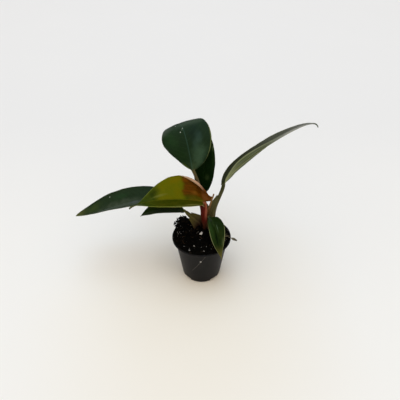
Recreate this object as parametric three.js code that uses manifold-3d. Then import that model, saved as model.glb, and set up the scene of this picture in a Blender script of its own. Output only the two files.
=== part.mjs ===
// A young philodendron with seven leaves, in a small plastic nursery pot filled with soil.
// Millimetres, +Z up. Seen from the front, +X is to the right and +Y goes to the back.
// The origin is the centre of the pot's underside, on the surface that the pot stands on.

import * as THREE from 'three';
import { mergeVertices } from 'three/addons/utils/BufferGeometryUtils.js';
import Module from 'manifold-3d';

const wasm = await Module();
wasm.setup();

// Pot: a tapering wall with a turned-out lip, a flat floor and four notches in its bottom edge
const potHeight = 50;
const lipRadius = 31;
const lipThickness = 1.8;
const wallTopRadius = 28.2;
const baseRadius = 20.2;
const baseRounding = 2.6;
const baseRoundingShare = 0.3;
const lipFillet = 2;
const lipEdge = 0.6;
const wallThickness = 1.2;
const floorThickness = 1.6;
const potSegments = 48;
const notchCount = 4;
const notchWidth = 10;
const notchDepth = 3.7;
const notchHeight = 3.2;
const notchTurn = -3;

// Clearance that touching pieces keep from each other
const gap = 0.3;

// Soil: fills the pot to its rim, with a heap at the back left and loose crumbs over the lip
const soilLevel = 51;
const soilMound = 1;
const soilSegments = 52;
const soilRings = 9;
const soilOverhang = 1.2;
const overhangMean = 0.5;
const overhangWaves = [
  { count: 5, share: 0.3, start: 0 },
  { count: 11, share: 0.2, start: 1 },
];
const heap = { x: -20, y: 17, height: 9, spread: 8, overhang: 3 };
const rimThickness = 0.7;
const rimUndercut = 0.4;
const heapRimShare = 0.7;
const crumbCount = 130;
const crumbSeed = 7;
const crumbRadius = [1.3, 2.6];
const crumbHeight = [0.44, 1.1];
const seatBlend = [1, 3.5];

// Stem: a short stub that stands in a plain hole in the soil and carries every leaf foot
const stem = { x: 5, y: 14, radius: 3.4, bottom: 26, top: 55.5, taper: 4, crown: 3, seat: 5 };
const stemBottomShare = 0.8;
const stemTopShare = 0.7;
const stemSegments = 16;

// Leaf sheets
const edgeThickness = 0.7;
const blendLength = 0.1;
const petioleRings = 11;
const footRise = 6;
const wingStart = 0.1;
const ringsOfBigBlade = 20;
const ringsOfSmallBlade = 14;
const tipWidth = 0.45;
const earReach = 0.16;
const earEnd = 0.02;
const closestRings = 0.015;
const lobePower = 1.5;
const columnShares = [0, 0.22, 0.46, 0.73, 1];
const wingNarrowing = 0.6;
const waveTurns = 2;
const waveLag = 1.3;

// Perlite: light lumps that lie on the soil
const lumpSeed = 20;
const lumpRoughness = [0.78, 1.08];
const lumpFlatness = 0.8;
const lumpDetail = 1;
const supportPoints = 12;
const supportShare = 0.6;
const perliteLumps = [
  { x: -0.2, y: -2.7, radius: 2.4 },
  { x: -7.6, y: -19.1, radius: 1 },
  { x: -12.1, y: -24.6, radius: 0.9 },
  { x: 2.1, y: -26, radius: 0.9 },
];

/*
 Leaves. A petiole and a midrib are Bezier curves, given by their control points. The foot of each
 petiole stands against the stem at the given compass angle, so its list starts above the foot.
 sides are directions across the blade, fold the angle that each half stands up from the midrib and
 curl how much more it turns before its edge, in degrees, all from the base to the tip. base and tip
 say how full the outline is at either end, and lobe how far the base corners reach back.
*/
const leaves = [
  {
    name: 'leaf_upper',
    colour: 0x2f4a33,
    footAngle: 100,
    petiole: [[3.6, 27, 78], [-2, 28.5, 97], [-8.7, 26, 115.5]],
    petioleRadius: [1.9, 1.6],
    sheath: { wing: 1.3, peak: 0.22, end: 0.45, ear: 4, fold: 40 },
    midrib: [
      [-8.7, 26, 115.5], [-14, 33, 142.2], [-18.6, 43.5, 166.7], [-26.6, 74, 157.6], [-26.9, 84, 114.7],
    ],
    sides: [[0.94, -0.34, 0], [0.91, 0.33, 0.28]],
    halfWidth: 25.7,
    widest: 0.33,
    plus: { base: 0.65, tip: 0.92, fold: [-2, 8.5, 8.5], curl: [-14] },
    minus: { base: 0.76, tip: 1.6, fold: [-7, -1, -4], curl: [-14] },
    wave: 0.5,
  },
  {
    name: 'leaf_back',
    colour: 0x1d3323,
    footAngle: 50,
    petiole: [[12.5, 26, 64], [0.5, 34, 69], [0.6, 34, 79.5]],
    petioleRadius: [1.8, 1.4],
    sheath: { wing: 1.1, peak: 0.3, end: 0.6, ear: 3, fold: 40 },
    midrib: [[0.6, 34, 79.5], [2.8, 34, 103.6], [4, 38, 126.2], [2.5, 46, 150]],
    sides: [[1, 0, 0]],
    halfWidth: 11.3,
    widest: 0.51,
    plus: { base: 0.5, tip: 0.5, fold: [11, 4.5, 0], curl: [-20] },
    minus: { base: 0.6, tip: 0.8, fold: [10, 5, 0], curl: [-20] },
    wave: 0.4,
  },
  {
    name: 'leaf_young',
    colour: 0x8c9428,
    footAngle: -108,
    petiole: [[2.5, 7, 70], [0, 8.2, 78], [8, 9.8, 85.2], [2, 8.8, 88.5]],
    petioleRadius: [1.9, 1.5],
    sheath: { wing: 1.6, peak: 0.45, end: 0.8, ear: 1, fold: 20 },
    footSide: [-3, 0.5, 0],
    midrib: [[2, 8.8, 88.5], [-16, 6, 94.6], [-44.5, -6, 103.3], [-62.1, -14, 105.5], [-70.4, -14, 96.4]],
    sides: [[0, 1, 0], [0.8, 1, -0.1]],
    halfWidth: 26,
    widest: 0.27,
    plus: { base: 0.6, tip: 3.8, fold: [18, 41.5, 10], curl: [10], lobe: 10 },
    minus: { base: 0.46, tip: 0.93, fold: [25, 23, 1], curl: [10] },
    wave: 0.4,
  },
  {
    name: 'leaf_left',
    colour: 0x3c5840,
    footAngle: 152,
    petiole: [[1.2, 18.4, 68], [3.4, 20, 88], [-8, 19, 84.5], [-20, 18, 86]],
    petioleRadius: [1.7, 1.6],
    sheath: { wing: 0.9, peak: 0.3, end: 0.6, ear: 3, fold: 45 },
    midrib: [[-20, 18, 86], [-52.1, 18, 90.9], [-86.9, 14, 84.9], [-107.7, 8, 70.5], [-132.1, 10, 68.6]],
    sides: [[0, 1, 0]],
    halfWidth: 18.9,
    widest: 0.46,
    plus: { base: 1.05, tip: 0.65, fold: [23, 23.5, 18], curl: [0] },
    minus: { base: 0.66, tip: 1.08, fold: [18, 12, 46], curl: [0] },
    wave: 0.5,
  },
  {
    name: 'leaf_right',
    colour: 0x46603c,
    footAngle: 0,
    petiole: [[7, 17.5, 70], [23.6, 17, 93], [21.8, 10, 111]],
    petioleRadius: [2.2, 1.8],
    sheath: { wing: 3.8, peak: 0.4, end: 0.72, ear: 4.5, fold: 30 },
    footSide: [-0.96, -0.2, 0],
    midrib: [[21.8, 10, 111], [35.4, 12, 137.3], [66.5, 10, 156.9], [101, 10, 188.5], [106.5, 10, 173]],
    sides: [[-0.356, -0.694, 0.614]],
    halfWidth: 17.1,
    widest: 0.36,
    plus: { base: 0.7, tip: 1.8, fold: [10, 7, 3, -2], curl: [0], lobe: 3 },
    minus: { base: 0.32, tip: 1.5, fold: [0, 15, 11.5, 34], curl: [0], lobe: 1 },
    wave: 0.4,
  },
  {
    name: 'leaf_low_left',
    colour: 0x33422a,
    small: true,
    footAngle: -158,
    petiole: [[-3.5, 9.5, 59.5], [-12, 10, 69], [-18, 12, 74.4]],
    petioleRadius: [1.7, 1.3],
    sheath: { wing: 4.5, peak: 0.4, end: 0.72, ear: 3, fold: 15 },
    footSide: [1, 0, 0.6],
    midrib: [[-18, 12, 74.4], [-33.6, 10, 83.1], [-55, 8, 78.7], [-63.9, 8, 69.6]],
    sides: [[0, 1, 0]],
    halfWidth: 10.6,
    widest: 0.4,
    plus: { base: 0.6, tip: 1.1, fold: [15], curl: [0] },
    minus: { base: 0.39, tip: 1.18, fold: [11], curl: [0] },
    wave: 0.3,
  },
  {
    name: 'leaf_front',
    colour: 0x4d7336,
    small: true,
    footAngle: -56,
    petiole: [[9, 8.5, 62], [8, 8.4, 68.5], [7.6, 4, 72.4]],
    petioleRadius: [1.5, 1.3],
    sheath: { wing: 0.9, peak: 0.3, end: 0.6, ear: 2, fold: 45 },
    midrib: [[7.6, 4, 72.4], [15.7, -10, 75], [15.6, -26, 69], [20.4, -33, 47]],
    sides: [[-1, 0.25, 0.25]],
    halfWidth: 9.2,
    widest: 0.4,
    plus: { base: 0.78, tip: 1.2, fold: [26], curl: [0] },
    minus: { base: 0.4, tip: 1.4, fold: [28], curl: [0] },
    wave: 0.3,
  },
];

// Dried sheath: a thin curled spike that grew from the top of the stem
const driedSheath = {
  path: [[5.2, 13.8, 56], [5, 12, 66], [7.2, 10.6, 78], [11.2, 9.5, 91.5]],
  radius: [0.7, 0.4],
  wing: 1.3,
  peak: 0.25,
  fold: 55,
};

// Bark fibre: a thin root with a flat chip at its end, lying across the lip at the front right
const fibre = {
  path: [[22.5, -3, 52.7], [27, -3.5, 52.4], [32, -5, 50.9], [37, -8.4, 50.3]],
  radius: 0.45,
  chipWidth: 1.5,
  chipStart: 0.6,
  ringCount: 10,
};

// Plain colours and how rough each surface is
const colours = {
  pot: 0x26262a,
  soil: 0x17130f,
  stem: 0x6b5a34,
  driedSheath: 0x9a7650,
  fibre: 0x8b8378,
  perlite: 0xe8e6e0,
};
const roughness = { pot: 0.45, soil: 0.95, stem: 0.7, leaf: 0.4, driedSheath: 0.8, fibre: 0.9, perlite: 0.9 };

// Corners nearer than this are one corner
const weldDistance = 1e-4;

// A curl under this many radians counts as flat
const smallestCurl = 1e-3;

// How far apart along a curve the two places lie that give its direction
const curveStep = 1e-3;

const up = new THREE.Vector3(0, 0, 1);
const wallSlope = (wallTopRadius - baseRadius) / potHeight;

function vector(xyz) {
  return new THREE.Vector3(xyz[0], xyz[1], xyz[2]);
}

// Seeded draw: a small generator that gives the same numbers every time
function seededRandom(seed) {
  let state = seed;
  return () => {
    state = (state * 1664525 + 1013904223) % 4294967296;
    return state / 4294967296;
  };
}

// De Casteljau's rule for a list of vectors
function curvePoint(points, t) {
  let row = points.map((point) => point.clone());
  while (row.length > 1) {
    row = row.slice(1).map((point, i) => row[i].clone().lerp(point, t));
  }
  return row[0];
}

// De Casteljau's rule for a list of numbers
function curveValue(values, t) {
  let row = [...values];
  while (row.length > 1) {
    row = row.slice(1).map((value, i) => row[i] + (value - row[i]) * t);
  }
  return row[0];
}

// The place on a curve with the directions along it, across it and out of the sheet's upper face
function curveFrame(points, sides, t) {
  const point = curvePoint(points, t);
  const before = curvePoint(points, Math.max(0, t - curveStep));
  const along = curvePoint(points, Math.min(1, t + curveStep)).sub(before).normalize();
  const across = curvePoint(sides, t);
  across.addScaledVector(along, -across.dot(along)).normalize();
  return { point, along, across, out: new THREE.Vector3().crossVectors(across, along) };
}

/*
 One closed ring round a leaf: its upper face from one edge to the other, then its lower face back.
 Each half has a width, a fold and a curl, and stands up from its hinge, a distance from the middle.
 The rib is round below and, where roundness is 1, above.
*/
function sheetRing(frame, plus, minus, ribRadius, roundness) {
  const upper = [];
  const lower = [];
  const last = columnShares.length - 1;
  for (let column = -last; column <= last; column += 1) {
    const half = column >= 0 ? plus : minus;
    const sign = Math.sign(column);
    let distance = columnShares[Math.abs(column)] * half.width;
    if (Math.abs(column) === 1) {
      distance = Math.min(distance, ribRadius);
    }
    const share = distance / half.width;
    const fold = THREE.MathUtils.degToRad(half.fold);
    const curl = THREE.MathUtils.degToRad(half.curl);
    const flat = Math.min(distance, half.hinge);
    let level = flat + (distance - flat) * Math.cos(fold);
    let rise = (distance - flat) * Math.sin(fold);
    if (Math.abs(curl) > smallestCurl) {
      level = (half.width * (Math.sin(fold + curl * share) - Math.sin(fold))) / curl;
      rise = (half.width * (Math.cos(fold) - Math.cos(fold + curl * share))) / curl;
    }
    const slope = distance <= half.hinge ? 0 : fold + curl * share;
    const middle = frame.point.clone()
      .addScaledVector(frame.across, sign * level)
      .addScaledVector(frame.out, rise + half.wave * share * share)
      .addScaledVector(frame.along, half.shift * share ** lobePower);
    const faceOut = frame.out.clone().multiplyScalar(Math.cos(slope))
      .addScaledVector(frame.across, -sign * Math.sin(slope));
    const edge = edgeThickness / 2;
    const rib = Math.max(edge, Math.sqrt(Math.max(0, ribRadius ** 2 - distance ** 2)));
    upper.push(middle.clone().addScaledVector(faceOut, edge + (rib - edge) * roundness));
    lower.push(middle.clone().addScaledVector(faceOut, -rib));
  }
  return [...upper, ...lower.reverse()];
}

// Closes a list of rings of equal count into one solid, split alike on both faces of a sheet
function loft(rings) {
  const count = rings[0].length;
  const positions = rings.flat().flatMap((point) => [point.x, point.y, point.z]);
  const index = [];
  for (let row = 0; row < rings.length - 1; row += 1) {
    for (let k = 0; k < count; k += 1) {
      const next = (k + 1) % count;
      const a = row * count + k;
      const b = row * count + next;
      const c = a + count;
      const d = b + count;
      if (k < count / 2) {
        index.push(a, b, d, a, d, c);
      } else {
        index.push(a, b, c, b, d, c);
      }
    }
  }
  const addCap = (ring, firstIndex, flip) => {
    const centre = ring.reduce((sum, point) => sum.add(point), new THREE.Vector3());
    centre.divideScalar(count);
    const centreIndex = positions.length / 3;
    positions.push(centre.x, centre.y, centre.z);
    for (let k = 0; k < count; k += 1) {
      const next = (k + 1) % count;
      if (flip) {
        index.push(centreIndex, firstIndex + next, firstIndex + k);
      } else {
        index.push(centreIndex, firstIndex + k, firstIndex + next);
      }
    }
  };
  addCap(rings[0], 0, true);
  addCap(rings[rings.length - 1], (rings.length - 1) * count, false);
  const geometry = new THREE.BufferGeometry();
  geometry.setAttribute('position', new THREE.Float32BufferAttribute(positions, 3));
  geometry.setIndex(index);
  return geometry;
}

// The petiole's wings: they grow to their peak, narrow again and end in a free pointed ear
function wingShare(sheath, t) {
  if (t < sheath.peak) {
    const grown = Math.max(0, (t - wingStart) / (sheath.peak - wingStart));
    return grown * (2 - grown);
  }
  if (t <= sheath.end) {
    return 1 - wingNarrowing * ((t - sheath.peak) / (sheath.end - sheath.peak)) ** 2;
  }
  return 0;
}

function petioleSections(points, sides, radii, sheath) {
  const shares = [];
  for (let i = 0; i <= petioleRings; i += 1) {
    shares.push(i / petioleRings);
  }
  if (sheath.end < 1) {
    shares.push(sheath.end, sheath.end + earEnd);
  }
  shares.sort((a, b) => a - b);
  const kept = shares.filter((t, i) => i === 0 || t - shares[i - 1] > closestRings);
  return kept.map((t) => {
    const radius = THREE.MathUtils.lerp(radii[0], radii[1], t);
    const wing = sheath.wing * wingShare(sheath, t);
    const nearEnd = Math.max(0, 1 - (sheath.end - t) / earReach);
    const half = {
      width: radius + wing,
      hinge: radius,
      fold: sheath.fold * wingShare(sheath, t),
      curl: 0,
      wave: 0,
      shift: t <= sheath.end ? sheath.ear * nearEnd : 0,
    };
    return sheetRing(curveFrame(points, sides, t), half, half, radius, 1);
  });
}

// How wide one half of the blade is at share s of its length
function outlineWidth(leaf, half, s) {
  if (s < leaf.widest) {
    return leaf.halfWidth * (1 - (1 - s / leaf.widest) ** 2) ** half.base;
  }
  return leaf.halfWidth * (1 - ((s - leaf.widest) / (1 - leaf.widest)) ** 2) ** half.tip;
}

function bladeSections(leaf) {
  const points = leaf.midrib.map(vector);
  const sides = leaf.sides.map(vector);
  const count = leaf.small ? ringsOfSmallBlade : ringsOfBigBlade;
  const rings = [];
  for (let i = 1; i <= count; i += 1) {
    const s = 0.5 - 0.5 * Math.cos((Math.PI * i) / count);
    const rib = tipWidth + (leaf.petioleRadius[1] - tipWidth) * (1 - s);
    const halves = [leaf.plus, leaf.minus].map((half, side) => ({
      width: Math.max(outlineWidth(leaf, half, s), rib),
      hinge: 0,
      fold: curveValue(half.fold, s) * Math.min(1, s / blendLength),
      curl: curveValue(half.curl, s),
      wave: leaf.wave * Math.sin(2 * Math.PI * waveTurns * s + waveLag * side),
      shift: -(half.lobe ?? 0) * Math.max(0, 1 - s / leaf.widest) ** 2,
    }));
    const roundness = Math.max(0, 1 - s / blendLength);
    rings.push(sheetRing(curveFrame(points, sides, s), halves[0], halves[1], rib, roundness));
  }
  return rings;
}

// Loose bumps of the soil's surface, drawn once from a seed
const random = seededRandom(crumbSeed);
const crumbs = [];
for (let i = 0; i < crumbCount; i += 1) {
  const distance = wallTopRadius * Math.sqrt(random());
  const angle = 2 * Math.PI * random();
  crumbs.push({
    x: distance * Math.cos(angle),
    y: distance * Math.sin(angle),
    radius: THREE.MathUtils.lerp(crumbRadius[0], crumbRadius[1], random()),
    height: THREE.MathUtils.lerp(crumbHeight[0], crumbHeight[1], random()),
  });
}

// Where something stands on the soil, the surface is smooth
function seatFade(x, y) {
  let fade = 1;
  const seats = [...perliteLumps, { x: stem.x, y: stem.y, radius: stem.radius + stem.seat }];
  for (const seat of seats) {
    const beyond = Math.hypot(x - seat.x, y - seat.y) - seat.radius;
    fade = Math.min(fade, THREE.MathUtils.smoothstep(beyond, seatBlend[0], seatBlend[1]));
  }
  return fade;
}

function heapShare(x, y) {
  return Math.exp(-((x - heap.x) ** 2 + (y - heap.y) ** 2) / heap.spread ** 2);
}

function soilHeight(x, y) {
  const mound = soilMound * (1 - (x * x + y * y) / wallTopRadius ** 2);
  let loose = 0;
  for (const crumb of crumbs) {
    const distance = Math.hypot(x - crumb.x, y - crumb.y);
    loose = Math.max(loose, crumb.height * Math.max(0, 1 - (distance / crumb.radius) ** 2));
  }
  return soilLevel + mound + heap.height * heapShare(x, y) + loose * seatFade(x, y);
}

function addNode(group, name, geometry, material) {
  const mesh = new THREE.Mesh(geometry, material);
  mesh.name = name;
  group.add(mesh);
}

function plainMaterial(colour, rough) {
  return new THREE.MeshStandardMaterial({ color: colour, roughness: rough, metalness: 0 });
}

// The pot's closed profile, from the axis out and up over the lip, then down the inside
function potProfile() {
  const innerBase = baseRadius - wallThickness + wallSlope * floorThickness;
  const innerTop = wallTopRadius - wallThickness;
  const lipBottom = potHeight - lipThickness;
  const points = [
    [0, 0],
    [baseRadius - baseRounding, 0],
    [baseRadius - baseRounding * baseRoundingShare, baseRounding * baseRoundingShare],
    [baseRadius + wallSlope * baseRounding, baseRounding],
    [wallTopRadius - wallSlope * (lipThickness + lipFillet), lipBottom - lipFillet],
    [wallTopRadius + lipEdge, lipBottom - lipEdge / 2],
    [lipRadius - lipEdge, lipBottom],
    [lipRadius, lipBottom + lipEdge],
    [lipRadius, potHeight - lipEdge],
    [lipRadius - lipEdge, potHeight],
    [innerTop + lipEdge, potHeight],
    [innerTop, potHeight - lipEdge],
    [innerBase, floorThickness],
    [0, floorThickness],
  ];
  return points.map(([radius, height]) => new THREE.Vector2(radius, height));
}

function toManifold(geometry) {
  const bare = geometry.clone();
  bare.deleteAttribute('normal');
  bare.deleteAttribute('uv');
  const merged = mergeVertices(bare, weldDistance);
  return new wasm.Manifold(new wasm.Mesh({
    numProp: 3,
    vertProperties: new Float32Array(merged.attributes.position.array),
    triVerts: new Uint32Array(merged.index.array),
  }));
}

function toGeometry(solid) {
  const mesh = solid.getMesh();
  const geometry = new THREE.BufferGeometry();
  geometry.setAttribute('position', new THREE.BufferAttribute(mesh.vertProperties, 3));
  geometry.setIndex(new THREE.BufferAttribute(mesh.triVerts, 1));
  return geometry;
}

// Lathe of the profile, turned so that its axis is upright, less the four drainage notches
function potGeometry() {
  const shell = new THREE.LatheGeometry(potProfile(), potSegments);
  shell.rotateX(Math.PI / 2);
  let pot = toManifold(shell);
  for (let i = 0; i < notchCount; i += 1) {
    const angle = ((i + 0.5) * 2 * Math.PI) / notchCount + THREE.MathUtils.degToRad(notchTurn);
    const cut = new THREE.BoxGeometry(2 * notchDepth, notchWidth, 2 * notchHeight);
    cut.translate(baseRadius, 0, 0);
    cut.rotateZ(angle);
    pot = pot.subtract(toManifold(cut));
  }
  return toGeometry(pot);
}

// Rings of the soil, from the bottom of the stem's hole up and out over the top, then down the wall
function soilGeometry() {
  const holeRadius = stem.radius + gap;
  const innerTop = wallTopRadius - wallThickness - gap;
  const bottomLevel = floorThickness + gap;
  const innerBottom = baseRadius - wallThickness - gap + wallSlope * bottomLevel;
  const rings = [];
  const addRing = (place) => {
    const ring = [];
    for (let k = 0; k < soilSegments; k += 1) {
      const angle = (-2 * Math.PI * k) / soilSegments;
      ring.push(place(Math.cos(angle), Math.sin(angle), angle));
    }
    rings.push(ring);
  };
  addRing((c, s) => vector([stem.x + holeRadius * c, stem.y + holeRadius * s, stem.bottom - gap]));
  for (let i = 0; i <= soilRings; i += 1) {
    const share = i / soilRings;
    addRing((c, s) => {
      const x = (stem.x + holeRadius * c) * (1 - share) + innerTop * c * share;
      const y = (stem.y + holeRadius * s) * (1 - share) + innerTop * s * share;
      return vector([x, y, soilHeight(x, y)]);
    });
  }
  const overhangAt = (c, s, angle) => {
    let loose = overhangMean;
    for (const wave of overhangWaves) {
      loose += wave.share * Math.sin(wave.count * angle + wave.start);
    }
    return innerTop + soilOverhang * (1 + loose) + heap.overhang * heapShare(innerTop * c, innerTop * s);
  };
  addRing((c, s, angle) => {
    const radius = overhangAt(c, s, angle);
    const rise = heapRimShare * heap.height * heapShare(innerTop * c, innerTop * s);
    return vector([radius * c, radius * s, potHeight + gap + rimThickness + rise]);
  });
  addRing((c, s, angle) => {
    const radius = overhangAt(c, s, angle) - rimUndercut;
    return vector([radius * c, radius * s, potHeight + gap]);
  });
  addRing((c, s) => vector([innerTop * c, innerTop * s, potHeight + gap / 2]));
  addRing((c, s) => vector([innerBottom * c, innerBottom * s, bottomLevel]));
  return loft(rings);
}

function stemGeometry() {
  const shape = [
    [0, stem.bottom],
    [stem.radius * stemBottomShare, stem.bottom],
    [stem.radius, stem.bottom + stem.taper],
    [stem.radius, stem.top - stem.crown],
    [stem.radius * stemTopShare, stem.top],
    [0, stem.top],
  ].map(([radius, height]) => new THREE.Vector2(radius, height));
  const geometry = new THREE.LatheGeometry(shape, stemSegments);
  geometry.rotateX(Math.PI / 2);
  geometry.translate(stem.x, stem.y, 0);
  return geometry;
}

// A petiole starts just above the soil, against the stem's side
function footPoint(leaf) {
  const angle = THREE.MathUtils.degToRad(leaf.footAngle);
  const distance = stem.radius + gap + leaf.petioleRadius[0];
  const x = stem.x + distance * Math.cos(angle);
  const y = stem.y + distance * Math.sin(angle);
  return vector([x, y, soilHeight(x, y) + gap]);
}

// The foot's hollow side faces the stem unless the leaf says otherwise
function footSide(leaf) {
  if (leaf.footSide) {
    return vector(leaf.footSide);
  }
  const angle = THREE.MathUtils.degToRad(leaf.footAngle);
  return vector([Math.sin(angle), -Math.cos(angle), 0]);
}

function leafGeometry(leaf) {
  const foot = footPoint(leaf);
  const petiole = [foot, foot.clone().addScaledVector(up, footRise), ...leaf.petiole.map(vector)];
  const sides = [footSide(leaf), vector(leaf.sides[0])];
  const rings = petioleSections(petiole, sides, leaf.petioleRadius, leaf.sheath);
  return loft([...rings, ...bladeSections(leaf)]);
}

function driedSheathGeometry() {
  const sheath = { wing: driedSheath.wing, peak: driedSheath.peak, end: 1, ear: 0, fold: driedSheath.fold };
  const sides = [vector([1, 0, 0])];
  return loft(petioleSections(driedSheath.path.map(vector), sides, driedSheath.radius, sheath));
}

function fibreGeometry() {
  const points = fibre.path.map(vector);
  const across = up.clone().cross(points[3].clone().sub(points[0])).normalize();
  const rings = [];
  for (let i = 0; i <= fibre.ringCount; i += 1) {
    const t = i / fibre.ringCount;
    const inChip = THREE.MathUtils.clamp((t - fibre.chipStart) / (1 - fibre.chipStart), 0, 1);
    const half = {
      width: fibre.radius + fibre.chipWidth * Math.sin(Math.PI * inChip),
      hinge: 0,
      fold: 0,
      curl: 0,
      wave: 0,
      shift: 0,
    };
    rings.push(sheetRing(curveFrame(points, [across], t), half, half, fibre.radius, 1));
  }
  return loft(rings);
}

// A rough lump: a faceted ball whose corners are pushed in or out by a seeded share
function perliteGeometry(lump, seed) {
  const draw = seededRandom(seed);
  const ball = new THREE.IcosahedronGeometry(lump.radius, lumpDetail);
  ball.deleteAttribute('normal');
  ball.deleteAttribute('uv');
  const geometry = mergeVertices(ball, weldDistance);
  const corners = geometry.attributes.position;
  for (let i = 0; i < corners.count; i += 1) {
    const push = THREE.MathUtils.lerp(lumpRoughness[0], lumpRoughness[1], draw());
    const flat = push * lumpFlatness;
    corners.setXYZ(i, corners.getX(i) * push, corners.getY(i) * push, corners.getZ(i) * flat);
  }
  geometry.computeBoundingBox();
  let ground = 0;
  for (let i = 0; i < supportPoints; i += 1) {
    const angle = (2 * Math.PI * i) / supportPoints;
    const x = lump.x + supportShare * lump.radius * Math.cos(angle);
    const y = lump.y + supportShare * lump.radius * Math.sin(angle);
    ground = Math.max(ground, soilHeight(x, y));
  }
  geometry.translate(lump.x, lump.y, ground + gap - geometry.boundingBox.min.z);
  return geometry;
}

const plant = new THREE.Group();
addNode(plant, 'pot', potGeometry(), plainMaterial(colours.pot, roughness.pot));
addNode(plant, 'soil', soilGeometry(), plainMaterial(colours.soil, roughness.soil));
addNode(plant, 'stem', stemGeometry(), plainMaterial(colours.stem, roughness.stem));
for (const leaf of leaves) {
  addNode(plant, leaf.name, leafGeometry(leaf), plainMaterial(leaf.colour, roughness.leaf));
}
const sheathMaterial = plainMaterial(colours.driedSheath, roughness.driedSheath);
addNode(plant, 'dried_sheath', driedSheathGeometry(), sheathMaterial);
addNode(plant, 'bark_fibre', fibreGeometry(), plainMaterial(colours.fibre, roughness.fibre));
perliteLumps.forEach((lump, i) => {
  const material = plainMaterial(colours.perlite, roughness.perlite);
  addNode(plant, `perlite_${i + 1}`, perliteGeometry(lump, lumpSeed + i), material);
});

export default plant;
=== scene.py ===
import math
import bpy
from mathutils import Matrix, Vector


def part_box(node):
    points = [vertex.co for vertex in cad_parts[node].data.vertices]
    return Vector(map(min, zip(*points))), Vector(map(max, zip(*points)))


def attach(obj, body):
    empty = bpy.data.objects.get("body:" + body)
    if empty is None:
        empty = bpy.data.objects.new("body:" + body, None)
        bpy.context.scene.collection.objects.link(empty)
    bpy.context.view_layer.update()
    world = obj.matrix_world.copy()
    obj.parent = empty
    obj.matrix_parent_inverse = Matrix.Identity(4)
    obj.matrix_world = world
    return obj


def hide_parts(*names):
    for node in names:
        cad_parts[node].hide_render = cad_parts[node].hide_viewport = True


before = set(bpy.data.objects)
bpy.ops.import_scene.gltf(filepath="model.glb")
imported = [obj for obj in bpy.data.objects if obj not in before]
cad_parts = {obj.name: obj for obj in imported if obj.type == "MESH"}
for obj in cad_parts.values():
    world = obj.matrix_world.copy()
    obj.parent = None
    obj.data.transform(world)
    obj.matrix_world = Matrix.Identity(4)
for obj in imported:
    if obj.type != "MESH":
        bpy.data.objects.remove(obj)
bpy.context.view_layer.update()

# Looks of the young philodendron in its nursery pot. Lengths are in millimetres until a mesh is made.
# +X is to the right, +Y goes to the back and +Z is up, and the origin is under the pot's centre.

from types import SimpleNamespace

import bmesh
import bpy
import numpy as np
from mathutils import Vector

MM = 0.001

# Pot, soil and stem, with the same sizes as their solids
POT_HEIGHT = 50.0
LIP_RADIUS = 31.0
LIP_THICKNESS = 1.8
WALL_TOP_RADIUS = 28.2
BASE_RADIUS = 20.2
BASE_ROUNDING = 2.6
WALL_THICKNESS = 1.2
FLOOR_THICKNESS = 1.6
NOTCH = dict(count=4, width=10.0, depth=3.7, height=3.2, turn=-3.0)
GAP = 0.3
SOIL_LEVEL = 51.0
SOIL_MOUND = 1.0
HEAP = dict(x=-20.0, y=17.0, height=9.0, spread=8.0, overhang=3.0)
STEM = dict(x=5.0, y=14.0, radius=3.4, bottom=26.0, top=55.5)
WALL_SLOPE = (WALL_TOP_RADIUS - BASE_RADIUS) / POT_HEIGHT

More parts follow.
